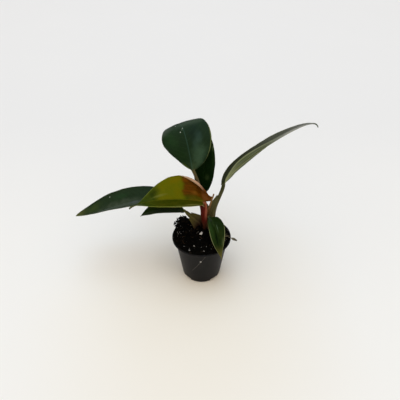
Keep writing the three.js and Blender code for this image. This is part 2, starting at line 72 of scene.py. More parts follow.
# Leaves, with the same curves and outlines as their solids. Only the sheaths of right and low_left differ a
# little. The midrib goes on from the petiole's last point. width is half the blade's width, fold and curl
# are in degrees from the base to the tip, and roll is how far the margin turns in near the base. A sheath's
# spread is what its two wings have beyond wing, and rest is the share of a wing that goes on to the blade.
LEAVES = dict(
    upper=dict(
        foot=100, petiole=[(3.6, 27, 78), (-2, 28.5, 97), (-8.7, 26, 115.5)], radius=(1.9, 1.6),
        sheath=dict(wing=1.3, peak=0.22, end=0.45, ear=4, fold=40),
        midrib=[(-14, 33, 142.2), (-18.6, 43.5, 166.7), (-26.6, 74, 157.6), (-26.9, 84, 114.7)],
        sides=[(0.94, -0.34, 0), (0.91, 0.33, 0.28)], width=25.7, widest=0.33, wave=0.5,
        plus=dict(base=0.65, tip=0.92, fold=[-2, 8.5, 8.5], curl=-14),
        minus=dict(base=0.76, tip=1.6, fold=[-7, -1, -4], curl=-14)),
    back=dict(
        foot=50, petiole=[(12.5, 26, 64), (0.5, 34, 69), (0.6, 34, 79.5)], radius=(1.8, 1.4),
        sheath=dict(wing=1.1, peak=0.3, end=0.6, ear=3, fold=40),
        midrib=[(2.8, 34, 103.6), (4, 38, 126.2), (2.5, 46, 150)],
        sides=[(1, 0, 0)], width=11.3, widest=0.51, wave=0.4,
        plus=dict(base=0.5, tip=0.5, fold=[11, 4.5, 0], curl=-20),
        minus=dict(base=0.6, tip=0.8, fold=[10, 5, 0], curl=-20)),
    young=dict(
        foot=-108, foot_side=(-3, 0.5, 0), slot="leaf_new",
        petiole=[(2.5, 7, 70), (0, 8.2, 78), (8, 9.8, 85.2), (2, 8.8, 88.5)], radius=(1.9, 1.5),
        sheath=dict(wing=1.6, peak=0.45, end=0.8, ear=1, fold=20),
        midrib=[(-16, 6, 94.6), (-44.5, -6, 103.3), (-62.1, -14, 105.5), (-70.4, -14, 96.4)],
        sides=[(0, 1, 0), (0.8, 1, -0.1)], width=26, widest=0.27, wave=0.4,
        plus=dict(base=0.6, tip=3.8, fold=[18, 41.5, 10], curl=10, lobe=10, roll=255),
        minus=dict(base=0.46, tip=0.93, fold=[25, 23, 1], curl=10)),
    left=dict(
        foot=152, petiole=[(1.2, 18.4, 68), (3.4, 20, 88), (-8, 19, 84.5), (-20, 18, 86)],
        radius=(1.7, 1.6), sheath=dict(wing=0.9, peak=0.3, end=0.6, ear=3, fold=45),
        midrib=[(-52.1, 18, 90.9), (-86.9, 14, 84.9), (-107.7, 8, 70.5), (-132.1, 10, 68.6)],
        sides=[(0, 1, 0)], width=18.9, widest=0.46, wave=0.5,
        plus=dict(base=1.05, tip=0.65, fold=[23, 23.5, 18]),
        minus=dict(base=0.66, tip=1.08, fold=[18, 12, 46])),
    right=dict(
        foot=0, foot_side=(-0.96, -0.2, 0),
        petiole=[(7, 17.5, 70), (23.6, 17, 93), (21.8, 10, 111)], radius=(2.2, 1.8),
        sheath=dict(wing=3.8, spread=(2.2, 0), peak=0.4, end=0.72, ear=4.5, fold=30),
        midrib=[(35.4, 12, 137.3), (66.5, 10, 156.9), (101, 10, 188.5), (106.5, 10, 173)],
        sides=[(-0.356, -0.694, 0.614)], width=17.1, widest=0.36, wave=0.4,
        plus=dict(base=0.7, tip=1.8, fold=[10, 7, 3, -2], lobe=3),
        minus=dict(base=0.32, tip=1.5, fold=[0, 15, 11.5, 34], lobe=1)),
    low_left=dict(
        foot=-158, foot_side=(1, 0, 0.6),
        petiole=[(-3.5, 9.5, 59.5), (-12, 10, 69), (-18, 12, 74.4)], radius=(1.7, 1.3),
        sheath=dict(wing=4.5, spread=(2.0, 2.8), peak=0.34, end=0.72, ear=2.4, rest=0.26, fold=15),
        midrib=[(-33.6, 10, 83.1), (-55, 8, 78.7), (-63.9, 8, 69.6)],
        sides=[(0, 1, 0)], width=10.6, widest=0.4, wave=0.3,
        plus=dict(base=0.6, tip=1.1, fold=[15]), minus=dict(base=0.39, tip=1.18, fold=[11])),
    front=dict(
        foot=-56, slot="leaf_green", petiole=[(9, 8.5, 62), (8, 8.4, 68.5), (7.6, 4, 72.4)],
        radius=(1.5, 1.3), sheath=dict(wing=0.9, peak=0.3, end=0.6, ear=2, fold=45),
        midrib=[(15.7, -10, 75), (15.6, -26, 69), (20.4, -33, 47)],
        sides=[(-1, 0.25, 0.25)], width=9.2, widest=0.4, wave=0.3,
        plus=dict(base=0.78, tip=1.2, fold=[26]), minus=dict(base=0.4, tip=1.4, fold=[28])))


# Meshes
def make_mesh(name, points, faces, attributes=None):
    """A smooth mesh from points in millimetres, with values or vectors at its points."""
    mesh = bpy.data.meshes.new(name)
    mesh.from_pydata((np.asarray(points) * MM).tolist(), [], faces)
    mesh.validate()
    mesh.polygons.foreach_set("use_smooth", np.ones(len(mesh.polygons), bool))
    for key, values in (attributes or {}).items():
        values = np.asarray(values, np.float32)
        kind, field = ("FLOAT", "value") if values.ndim == 1 else ("FLOAT_VECTOR", "vector")
        mesh.attributes.new(key, kind, "POINT").data.foreach_set(field, values.ravel())
    mesh.update()
    return mesh


def add_object(data):
    thing = bpy.data.objects.new(data.name, data)
    bpy.context.scene.collection.objects.link(thing)
    return thing


def add_piece(mesh, material, replaces=None, sharp=None):
    """An object that rides on the part's one body, in place of a solid if one is named."""
    if sharp:
        mesh.set_sharp_from_angle(angle=math.radians(sharp))
    mesh.materials.clear()
    mesh.materials.append(material)
    piece = add_object(mesh)
    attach(piece, "root")
    if replaces:
        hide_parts(replaces)


def closed_loft(rings):
    """Points and faces of rings (rows, count, 3), closed by a fan at both ends."""
    rows, count, _ = rings.shape
    points = np.concatenate([rings.reshape(-1, 3), rings[:1].mean(1), rings[-1:].mean(1)])
    around = np.stack([np.arange(count), np.roll(np.arange(count), -1)], 1)
    pairs = (np.arange(rows - 1)[:, None, None] * count + around).reshape(-1, 2)
    first, last, end = rows * count, rows * count + 1, (rows - 1) * count
    faces = np.concatenate([pairs, pairs[:, ::-1] + count], 1).tolist()
    faces += [(first, b, a) for a, b in around.tolist()]
    faces += [(last, end + a, end + b) for a, b in around.tolist()]
    return points, faces


def joined(parts):
    """One set of points and faces from several."""
    points, faces = [], []
    for some_points, some_faces in parts:
        faces += [[i + len(points) for i in face] for face in some_faces]
        points += some_points.tolist()
    return points, faces


# Curves and noise
def curve(points, t):
    """De Casteljau for control points or control values, at an array of shares."""
    t = np.asarray(t, float)
    rows = [np.multiply.outer(np.ones_like(t), np.asarray(p, float)) for p in points]
    share = t if rows[0].ndim == 1 else t[:, None]
    while len(rows) > 1:
        rows = [a + (b - a) * share for a, b in zip(rows, rows[1:])]
    return rows[0]


def lengths_along(points, count):
    """The length from the start of a curve, at even shares."""
    line = curve(points, np.linspace(0, 1, count))
    return np.concatenate([[0], np.cumsum(np.linalg.norm(np.diff(line, axis=0), axis=1))])


def unit(v):
    return v / np.linalg.norm(v, axis=-1, keepdims=True)


def cos_sin(angle):
    return math.cos(angle), math.sin(angle)


def frames(points, sides, t):
    """Places on a curve with the directions along it, across it and out of the upper face."""
    step = 1e-3
    ahead = curve(points, np.minimum(1, t + step))
    along = unit(ahead - curve(points, np.maximum(0, t - step)))
    across = curve(sides, t)
    across = unit(across - (across * along).sum(1, keepdims=True) * along)
    return curve(points, t), along, across, np.cross(across, along)


def smooth(x, low, high):
    """0 below low and 1 above high, or the other way round, with a soft turn between."""
    x = np.clip((np.asarray(x, float) - low) / (high - low), 0, 1)
    return x * x * (3 - 2 * x)


def waves(seed, count, longest, shortest, dims=1):
    """A smooth noise: a sum of seeded sine waves over 1 or 2 coordinates in millimetres."""
    draw = np.random.default_rng(seed)
    lengths = np.geomspace(longest, shortest, count)
    angles = draw.uniform(0, 2 * math.pi, count)
    phases = draw.uniform(0, 2 * math.pi, count)
    heights = lengths / longest

    def at(x, y=0.0):
        total = 0.0
        for length, angle, phase, height in zip(lengths, angles, phases, heights):
            c, s = cos_sin(angle) if dims == 2 else (1.0, 0.0)
            total = total + height * np.sin(2 * math.pi * (x * c + y * s) / length + phase)
        return total / heights.sum()

    return at


# Leaves
RIB_COLUMNS = 6
SHEET_COLUMNS = 18
PROFILE_STEPS = 120
STALK_STEPS = 200
BLADE_STEPS = 300
EDGE_COLUMNS = np.array([0.42, 0.24, 0.1, 0.0])
EDGE_LENGTH = 0.45
BLADE_HALF_THICKNESS = 0.24
WING_START = 0.1
BLEND_LENGTH = 0.1
RIB_END = 0.32
FOOT_DEPTHS = np.array([-3.4, -1.7])
EAR_SHARE = 0.16
RAGGED = 0.22
UNEVEN = 0.32
ROLL_RADIUS = 2.7
SMALL_LEAF = 10
NARROWEST = 6.0
VEIN_SPACING = 5.6
VEIN_LEAN = 0.42
VEIN_BEND = 0.34


def column_distances(width, rib, flat):
    """How far one half's columns lie from the midrib, and how long its rounded edge is."""
    k = np.arange(RIB_COLUMNS + SHEET_COLUMNS + 1)
    reach = np.minimum(rib, width)
    outer = reach + (width - reach) * np.clip((k - RIB_COLUMNS) / SHEET_COLUMNS, 0, 1)
    flat_part = np.where(k <= RIB_COLUMNS, reach * (k / RIB_COLUMNS), outer)
    distance = width * np.sin(math.pi / 2 * k / k[-1]) * (1 - flat) + flat_part * flat
    last = distance[:, -1:]
    edge = np.minimum(EDGE_LENGTH, 0.4 * last)
    distance = np.minimum(distance, last - edge * (1 + 0.02 * (k[-1] - k)))
    distance = np.maximum.accumulate(np.maximum(distance, 0), axis=1)
    return np.concatenate([distance, last - edge * EDGE_COLUMNS / EDGE_LENGTH * 0.9], 1), last, edge


def sheet(frame_at, halves, rib, roundness, along_mm, detail):
    """Rings of a stalk or blade: a round rib that runs out into a thin sheet on both sides."""
    point, along, across, out = (part[:, None] for part in frame_at)
    rib, r, along_mm = rib[:, None], roundness[:, None], along_mm[:, None]
    rows = len(rib)
    row = np.arange(rows)[:, None]
    ribbed = rib * (1.0 + 0.7 * (1 - r))
    sides = []
    for sign, half in zip((1, -1), halves):
        half = {key: value[:, None] for key, value in half.items()}
        width = half["width"]
        distance, last, edge = column_distances(width, ribbed, smooth(width / rib, 1.0, 2.0))
        share = distance / last

        # The sheet's middle line, by adding up short straight steps along its bending profile
        fine = (np.arange(PROFILE_STEPS + 1) / PROFILE_STEPS) * np.ones((rows, 1))
        rolled = np.clip((fine - half["roll_from"]) / (1 - half["roll_from"]), 0, 1)
        slope = half["fold"] + half["curl"] * fine + half["roll"] * rolled
        slope = np.where(fine * width <= half["hinge"], 0, np.radians(slope))
        middle = 0.5 * (slope[:, 1:] + slope[:, :-1])
        start = np.zeros((rows, 1))
        level = np.concatenate([start, np.cumsum(np.cos(middle), 1)], 1) / PROFILE_STEPS
        rise = np.concatenate([start, np.cumsum(np.sin(middle), 1)], 1) / PROFILE_STEPS
        low = np.clip((share * PROFILE_STEPS).astype(int), 0, PROFILE_STEPS - 1)
        part = share * PROFILE_STEPS - low
        turn, x, z = (table[row, low] * (1 - part) + table[row, low + 1] * part
                      for table in (slope, level, rise))
        turn = np.where(share < 1e-6, 0, turn)
        x, z = x * width, z * width + half["wave"] * share ** 2
        shift = half["shift"] * share ** 1.5
        centre = point + (sign * x)[..., None] * across + z[..., None] * out + shift[..., None] * along
        face = np.cos(turn)[..., None] * out - (sign * np.sin(turn))[..., None] * across

        # How far the upper and the lower face stand off the middle line
        near_edge = np.clip((distance - (last - edge)) / edge, 0, 1)
        closing = np.sqrt(np.clip(1 - near_edge ** 2, 0, 1))
        thin = BLADE_HALF_THICKNESS * (1 - 0.35 * share) * closing
        stalk = np.sqrt(np.clip(rib ** 2 - distance ** 2, 0, None) + thin ** 2)
        hump = np.clip(1 - (distance / ribbed) ** 2, 0, 1) ** 2
        groove = 0.3 * np.exp(-(distance / 0.55) ** 2) * np.minimum(1, rib / 1.2)
        up = stalk * r + (thin + 0.125 * hump * rib - groove) * (1 - r)
        down = stalk * r + (thin + (rib - thin) * hump) * (1 - r)
        if detail is not None:
            extra_up, extra_down, lift = detail(along_mm + shift, sign * distance, width, share)
            inside = closing * (1 - r)
            up, down = up + extra_up * inside, down + extra_down * inside
            centre = centre + (lift * (1 - r) * share ** 0.7)[..., None] * face
        sides.append(dict(upper=centre + up[..., None] * face, lower=centre - down[..., None] * face,
                          share=sign * share, distance=sign * distance, along=along_mm + shift))

    def wrap(key_up, key_down):
        plus, minus = sides
        upper = np.concatenate([minus[key_up][:, :0:-1], plus[key_up]], 1)
        return np.concatenate([upper, plus[key_down][:, -2::-1], minus[key_down][:, 1:-1]], 1)

    columns = 2 * sides[0]["share"].shape[1] - 1
    rings = wrap("upper", "lower")
    under = np.zeros(rings.shape[:2])
    under[:, columns:] = 1
    under[:, [0, columns - 1]] = 0.5
    return rings, wrap("share", "share"), wrap("distance", "distance"), wrap("along", "along"), under


def wing_share(sheath, t):
    grown = np.clip((t - WING_START) / (sheath["peak"] - WING_START), 0, 1)
    after = np.clip((t - sheath["peak"]) / (sheath["end"] - sheath["peak"]), 0, 1)
    share = np.where(t < sheath["peak"], grown * (2 - grown), 1 - 0.6 * after ** 2)
    return np.where(t <= sheath["end"], share, sheath.get("rest", 0) * smooth(t, 1.0, 0.9))


def heap_share(x, y):
    return np.exp(-((x - HEAP["x"]) ** 2 + (y - HEAP["y"]) ** 2) / HEAP["spread"] ** 2)


def soil_base(x, y):
    """The soil's height without its crumbs."""
    mound = SOIL_MOUND * (1 - (x * x + y * y) / WALL_TOP_RADIUS ** 2)
    return SOIL_LEVEL + mound + HEAP["height"] * heap_share(x, y)


def outline_width(leaf, half, s):
    m = leaf["widest"]
    near = (1 - np.clip(1 - s / m, 0, 1) ** 2) ** half["base"]
    far = np.clip(1 - (np.clip(s - m, 0, None) / (1 - m)) ** 2, 0, 1) ** half["tip"]
    return leaf["width"] * np.where(s < m, near, far)


def stalk_rings(points, sides, radii, sheath, t, rise=None):
    """Rings of a petiole with its two thin wings, which end in a free pointed ear."""
    radius = radii[0] + (radii[1] - radii[0]) * t
    wing = wing_share(sheath, t)
    near_end = np.clip(1 - (sheath["end"] - t) / EAR_SHARE, 0, 1)
    shift = np.where(t <= sheath["end"], sheath["ear"] * near_end, 0)
    nought = np.zeros_like(t)
    halves = [dict(width=radius + (sheath["wing"] + extra) * wing, hinge=radius, fold=sheath["fold"] * wing,
                   curl=nought, roll=nought, roll_from=nought + 0.8, wave=nought, shift=shift)
              for extra in sheath.get("spread", (0, 0))]
    place = frames(points, sides, t)
    if rise is not None:
        place = (place[0] + rise, *place[1:])
    along_mm = (t - 1) * lengths_along(points, STALK_STEPS)[-1]
    return sheet(place, halves, radius, np.ones_like(t), along_mm, None)


def leaf_foot(leaf):
    angle = math.radians(leaf["foot"])
    distance = STEM["radius"] + GAP + leaf["radius"][0]
    c, s = cos_sin(angle)
    x, y = STEM["x"] + distance * c, STEM["y"] + distance * s
    return np.array([x, y, soil_base(x, y) + GAP]), leaf.get("foot_side", (s, -c, 0))


def blade_detail(leaf, seed):
    """Sunken veins above, raised veins below, and a slow unevenness of the whole blade."""
    uneven = waves(seed, 5, 34, 9, dims=2)
    amount = 0.22 if leaf["width"] > SMALL_LEAF else 0.14

    def detail(along, across, width, share):
        reach = np.abs(across)
        path = along - VEIN_LEAN * reach - VEIN_BEND * reach ** 2 / np.maximum(width, NARROWEST)
        off = np.abs(np.sin(math.pi * (path / VEIN_SPACING + 0.5 * (across > 0))))
        fade = smooth(reach, 0.6, 3.0) * smooth(share, 1.0, 0.82) * smooth(along, 0, 6)
        up = 0.55 * amount * (off ** 0.8 - 0.6) * fade
        down = 0.6 * amount * np.exp(-(off / 0.22) ** 2) * fade
        return up, down, UNEVEN * uneven(along, across)

    return detail


def blade_half(leaf, side, s, rib, along_mm, seed):
    """The width, fold, curl and roll of one half of a blade, at shares of its length."""
    half = leaf["plus" if side == 0 else "minus"]
    width = np.maximum(outline_width(leaf, half, s), rib)
    width = width + RAGGED * waves(seed + 40 + side, 6, 22, 3.5)(along_mm) * smooth(width, 2, 8)
    roll = half.get("roll", 0) * smooth(s, 0.46, 0.2) * smooth(s, 0.0, 0.02)
    tube_radius = ROLL_RADIUS * smooth(s, 0.31, 0.06)
    arc = np.radians(np.abs(roll)) * tube_radius
    width = width + np.clip(arc - tube_radius, 0, None)
    return dict(
        width=width, hinge=np.full_like(s, -1.0), roll=roll, roll_from=1 - np.clip(arc / width, 0.02, 0.7),
        fold=curve(half["fold"], s) * np.minimum(1, s / BLEND_LENGTH),
        curl=np.full_like(s, half.get("curl", 0)),
        wave=leaf["wave"] * np.sin(4 * math.pi * s + 1.3 * side),
        shift=-half.get("lobe", 0) * np.clip(1 - s / leaf["widest"], 0, 1) ** 2)


def leaf_mesh(name, leaf, seed):
    foot, foot_side = leaf_foot(leaf)
    petiole = [foot, foot + (0, 0, 6), *leaf["petiole"]]
    stalk_values = petiole, [foot_side, leaf["sides"][0]], leaf["radius"], leaf["sheath"]
    end = leaf["sheath"]["end"]
    t = np.unique(np.concatenate([np.linspace(0, 1, 64)[:-1], [end, end + 0.006, end + 0.02]]))
    stalk = stalk_rings(*stalk_values, t)
    # The foot goes on down into the soil
    nought = 0 * FOOT_DEPTHS
    root = stalk_rings(*stalk_values, nought, rise=np.stack([nought, nought, FOOT_DEPTHS], 1))

    count = 120 if leaf["width"] > SMALL_LEAF else 90
    even = np.arange(1, count + 1) / count
    s = 0.6 * (0.5 - 0.5 * np.cos(math.pi * even)) + 0.4 * even
    rib = RIB_END + (leaf["radius"][1] - RIB_END) * (1 - s)
    midrib = [leaf["petiole"][-1], *leaf["midrib"]]
    along_mm = np.interp(s, np.linspace(0, 1, BLADE_STEPS), lengths_along(midrib, BLADE_STEPS))
    halves = [blade_half(leaf, side, s, rib, along_mm, seed) for side in range(2)]
    roundness = np.clip(1 - s / BLEND_LENGTH, 0, 1)
    blade = sheet(frames(midrib, leaf["sides"], s), halves, rib, roundness, along_mm,
                  blade_detail(leaf, seed))

    rings, share, across, along, under = (np.concatenate(parts) for parts in zip(root, stalk, blade))
    ones = np.ones(rings.shape[1])
    at_s = np.concatenate([nought, 0 * t, s])[:, None] * ones
    at_t = np.concatenate([nought, t, np.ones(count)])[:, None] * ones

    def with_ends(*values):
        values = np.stack(values, -1)
        return np.concatenate([values.reshape(-1, 3), values[:1].mean(1), values[-1:].mean(1)])

    return make_mesh(name, *closed_loft(rings), dict(
        blade=with_ends(at_s, share, under), place=with_ends(along, across, at_t)))


# Materials
def linear(colour):
    """Linear light from a screen colour such as #142613."""
    levels = [int(colour[i:i + 2], 16) / 255 for i in (1, 3, 5)]
    return [c / 12.92 if c <= 0.04045 else ((c + 0.055) / 1.055) ** 2.4 for c in levels]


class Value:
    """A number or colour that a material works out, for plain arithmetic."""

    def __init__(self, graph, socket):
        self.graph, self.socket = graph, socket

    def __add__(self, other):
        return self.graph.math("ADD", self, other)

    def __sub__(self, other):
        return self.graph.math("SUBTRACT", self, other)

    def __rsub__(self, other):
        return self.graph.math("SUBTRACT", other, self)

    def __mul__(self, other):
        return self.graph.math("MULTIPLY", self, other)

    def __truediv__(self, other):
        return self.graph.math("DIVIDE", self, other)

    def __abs__(self):
        return self.graph.math("ABSOLUTE", self)

    __radd__, __rmul__ = __add__, __mul__

    def step(self, low, high):
        """0 to 1 as the value goes from low to high, softly. low may be the larger."""
        if low > high:
            return 1.0 - self.step(high, low)
        return self.graph.node("MapRange", {0: self, 1: low, 2: high}, interpolation_type="SMOOTHSTEP")

    def band(self, low, high, soft):
        return self.step(low - soft, low) * self.step(high + soft, high)


class Graph:
    """The nodes of a material or of the world, with short ways to add to them."""

    def __init__(self, tree):
        self.tree = tree

    def feed(self, socket, value):
        if isinstance(value, Value):
            self.tree.links.new(value.socket, socket)
        elif isinstance(value, str):
            socket.default_value = (*linear(value), 1)
        else:
            socket.default_value = (*value, 1) if socket.type == "RGBA" else value

    def nodes(self, kind, inputs, **settings):
        node = self.tree.nodes.new("ShaderNode" + kind)
        for key, value in settings.items():
            setattr(node, key, value)
        for key, value in inputs.items():
            self.feed(node.inputs[key], value)
        return [Value(self, socket) for socket in node.outputs]

    def node(self, kind, inputs, output=0, **settings):
        return self.nodes(kind, inputs, **settings)[output]

    def math(self, operation, *values):
        return self.node("Math", dict(enumerate(values)), operation=operation)

    def length(self, x, y):
        return self.math("SQRT", x * x + y * y)

    def split(self, vector):
        return self.nodes("SeparateXYZ", {0: vector})


class Shade(Graph):
    """A material of one shader."""

    def __init__(self, name):
        self.material = bpy.data.materials.new(name)
        self.material.use_nodes = True
        super().__init__(self.material.node_tree)
        self.tree.nodes.clear()
        self.shader = self.tree.nodes.new("ShaderNodeBsdfPrincipled")
        output = self.tree.nodes.new("ShaderNodeOutputMaterial")
        self.tree.links.new(self.shader.outputs[0], output.inputs[0])

    def finish(self, colour, roughness, specular, relief=None, depth=0.0, strength=1.0):
        inputs = self.shader.inputs
        self.feed(inputs["Base Color"], colour)
        self.feed(inputs["Roughness"], roughness)
        self.feed(inputs["Specular IOR Level"], specular)
        if relief:
            bump = {"Height": relief, "Distance": depth, "Strength": strength}
            self.feed(inputs["Normal"], self.node("Bump", bump))
        return self.material

    def mix(self, share, a, b):
        return self.node("Mix", {0: share, 6: a, 7: b}, 2, data_type="RGBA")

    def ramp(self, value, stops):
        node = self.tree.nodes.new("ShaderNodeValToRGB")
        elements = node.color_ramp.elements
        while len(elements) < len(stops):
            elements.new(0.5)
        for element, (place, colour) in zip(elements, stops):
            element.position = place
            element.color = (*linear(colour), 1)
        self.feed(node.inputs[0], value)
        return Value(self, node.outputs[0])

    def attribute(self, name):
        return self.split(self.node("Attribute", {}, 1, attribute_name=name))

    def tone(self):
        return self.node("Attribute", {}, 2, attribute_name="tone")

    def place(self):
        """The object's own coordinates, which are metres in the part's frame."""
        return self.node("TexCoord", {}, 3)

    def vector(self, x, y, z):
        return self.node("CombineXYZ", {0: x, 1: y, 2: z})

    def noise(self, vector, scale, detail=2.0, roughness=0.5):
        inputs = {"Vector": vector, "Scale": scale, "Detail": detail, "Roughness": roughness}
        return self.node("TexNoise", inputs)

    def cells(self, vector, scale):
        return self.node("TexVoronoi", {"Vector": vector, "Scale": scale})


def leaf_veins(m, along, across, half_width):
    """Shares of main side veins and of the finer ones between them, from blade coordinates."""
    reach = abs(across)
    path = along - reach * VEIN_LEAN - reach * reach * (VEIN_BEND / half_width)
    phase = path * (1 / VEIN_SPACING) + m.math("GREATER_THAN", across, 0.0) * 0.5
    phase = phase + (m.noise(m.vector(along * 0.12, across * 0.12, 0.0), 1.0) - 0.5) * 0.25
    main = abs(m.math("SINE", phase * math.pi))
    fine = abs(m.math("SINE", phase * (5 * math.pi)))
    return main.step(0.2, 0.0), fine.step(0.45, 0.0)


def leaf_material(name, width, seed, look):
    """A leathery leaf: mottled green above, paler below, with its veins, midrib, margin and stalk."""
    m = Shade(name)
    s, v, under = m.attribute("blade")
    along, across, t = m.attribute("place")
    half_width = max(width, NARROWEST)
    main, fine = leaf_veins(m, along, across, half_width)
    share = abs(v)
    on_blade = along.step(-1.0, 2.5)
    spot = m.vector(along * 0.1, across * 0.1, under * 3.0 + seed)
    cloud = m.noise(spot, 0.55, 3.0, 0.55)
    grain = m.noise(spot, 9.0, 3.0, 0.6)
    blotch = cloud.step(0.35, 0.65)
    vein = main * share.step(0.98, 0.7)
    at = SimpleNamespace(s=s, v=v, along=along, across=across, spot=spot, cloud=cloud)

    # Upper face
    tip, tip_from, tip_share = look["tip"]
    upper = m.mix(blotch, *look["upper"][:2])
    upper = m.mix(grain.step(0.45, 0.75) * 0.22, upper, look["upper"][2])
    upper = m.mix(s.step(tip_from, 1.0) * tip_share, upper, tip)
    if "paint" in look:
        upper = look["paint"](m, upper, at)
    # Painted sheen, painted highlights and painted shade, with some of the leaf's own marks, from its look's
    # patches
    for patch in look.get("patches", ()):
        upper = add_patch(m, upper, at, *patch)
    vein_colour, vein_share = look["vein"]
    upper = m.mix(vein * vein_share, upper, vein_colour)
    upper = m.mix(fine * (vein_share * 0.3), upper, vein_colour)

    # Lower face
    lower = m.mix(blotch, *look["under"][:2])
    lower = m.mix(vein * 0.35, lower, look["under"][2])
    lower = m.mix(fine * 0.14, lower, look["under"][2])
    if "paint_under" in look:
        lower = look["paint_under"](m, lower, at)
    below = under.step(0.2, 0.8)
    colour = m.mix(below, upper, lower)

    # Midrib and pale margin
    rib = (abs(across) / ((1.0 - s) * 0.75 + 0.16)).step(1.25, 0.5)
    (rib_colour, rib_share), (under_rib, under_rib_share) = look["rib"], look["under_rib"]
    worn = m.noise(m.vector(along * 0.08, 0.0, seed), 2.0, 2.0) * 0.9 + 0.55
    rib_share = worn * (rib_share + below * under_rib_share)
    colour = m.mix(rib * rib_share, colour, m.mix(below, rib_colour, under_rib))
    edge, edge_share = look["edge"]
    edge_line = ((1.0 - share) * half_width).step(0.75, 0.15)
    colour = m.mix(edge_line * edge_share * s.step(*look["edge_from"]), colour, edge)

    # Stalk
    stalk_grain = m.noise(m.vector(along * 0.03, across * 0.35, seed), 4.0, 3.0, 0.6)
    stalk = m.ramp(t + (stalk_grain - 0.5) * 0.12, look["stalk"])
    stalk = m.mix(stalk_grain.step(0.5, 0.8) * 0.35, stalk, look["stalk_light"])
    # A painted highlight down one side of the stalk
    if "stalk_highlight" in look:
        low, high, tint = look["stalk_highlight"]
        stalk = m.mix(across.step(low, high) * t.step(0.25, 0.5) * 0.65, stalk, tint)
    colour = m.mix(on_blade, stalk, colour)

    relief = fine * (below * 1.1 - 0.5) + grain * 0.35 + m.noise(spot, 38.0, 2.0, 0.6) * 0.16
    fibres = m.noise(m.vector(along * 0.02, across, seed), 5.0, 2.0, 0.5)
    height = relief * on_blade + fibres * (1.0 - on_blade)
    gloss = (cloud - 0.5) * 0.2 + look["rough"] + below * 0.18 + grain * 0.06
    return m.finish(colour, gloss, look["specular"], height, 0.00012, 0.7)


def add_patch(m, colour, at, s0, v0, s_reach, v_reach, tint, share, soft=0.85):
    """One soft patch of another tone, round a place given by its shares of the blade's length and width."""
    wobble = (m.noise(at.spot, 1.4, 2.0, 0.5) - 0.5) * (0.9 * soft)
    distance = m.length((at.s - s0) * (1 / s_reach), (at.v - v0) * (1 / v_reach)) + wobble
    return m.mix(distance.step(1.0 + 0.2 * soft, 1.0 - soft) * share, colour, tint)


def young_under(m, lower, at):
    """Salmon near the base, where the margin rolls over, and green towards the tip."""
    green = m.mix(at.cloud, "#343c12", "#464e1e")
    lower = m.mix(at.s.step(0.13, 0.05), lower, "#845c4c")
    return m.mix(at.s.step(0.44, 0.56), lower, green)


def right_under(m, lower, at):
    """Painted shade on the half above the midrib and a paler lower half, both greyer to the tip with painted
    sheen, and a painted highlight along the line between them.
    """
    s, v = at.s, at.v
    line = s.step(0.04, 0.26) * 0.34 + 0.2 - s.step(0.3, 0.54) * 0.3
    # Painted shade on the half above the line, going grey to the tip as painted sheen
    dark = m.mix(s.step(0.3, 0.55), "#1e2510", "#464b40")
    dark = m.mix(s.step(0.55, 0.85), dark, "#727573")
    pale = m.mix(s.step(0.1, 0.26), "#747c5a", "#525a42")
    pale = m.mix(at.cloud.step(0.4, 0.6) * s.step(0.4, 0.25) * 0.6, pale, "#4c5a26")
    # Painted grey sheen towards the tip
    pale = m.mix(s.step(0.4, 0.7), pale, "#a0a3a6")
    streak = m.noise(m.vector(s * 1.5, v * 9.0, 2.0), 1.6, 3.0, 0.6)
    pale = m.mix(streak.step(0.5, 0.62) * 0.5, pale, "#465034")
    pale = m.mix(streak.step(0.46, 0.36) * 0.5, pale, "#969c80")
    colour = m.mix((v - line).step(0.02, 0.16), pale, dark)
    # Painted highlight along the line between the halves
    ridge_highlight = abs(v - line).step(0.09, 0.02) * s.step(0.6, 0.4) * 0.6
    return m.mix(ridge_highlight, colour, "#989e7a")


def young_paint(m, upper, at):
    """The newest leaf's colours: brown-orange by its base, yellow-olive in the middle, green at its tip. The
    yellow-olive is its own colour and partly painted light shining through the thin blade.
    """
    along, across, v = at.along, at.across, at.v
    patch = m.noise(m.vector(along * 0.09, across * 0.13, 4.0), 1.1, 4.0, 0.6)
    streak = m.noise(m.vector(along * 0.05, across * 0.5, 7.0), 1.5, 3.0, 0.5)
    wobble = along + (patch - 0.5) * 7.0
    blotch = patch.step(0.3, 0.7)
    green = m.mix(patch.step(0.35, 0.7), "#2c3a00", "#3e4808")
    olive = m.mix(blotch, "#605c00", "#585c04")
    near = m.mix(blotch, "#2e3600", "#3e3e04")
    # Yellow-olive on the far half: partly painted light shining through the blade
    colour = m.mix(wobble.band(24.0, 44.0, 9.0) * v.step(-0.02, 0.06), green, olive)
    colour = m.mix(v.step(0.03, -0.12) * along.step(64.0, 50.0), colour, near)
    brown = m.mix(streak.step(0.3, 0.75), "#4a2a00", "#5e3204")
    colour = m.mix(wobble.step(24.0, 18.0) * v.step(0.06, 0.3), colour, brown)
    dull = wobble.step(20.0, 12.0) * v.step(0.25, 0.05) * v.step(-0.3, 0.0) * 0.7
    return m.mix(dull, colour, "#544208")


# Patches: where one lies along and across the blade, its reach in both, its tone, share and softness. Most
# are painted sheen, painted highlights and painted shade, and the pale specks and some tints are the leaves'
# own.
SPECK = "#c4c8be"
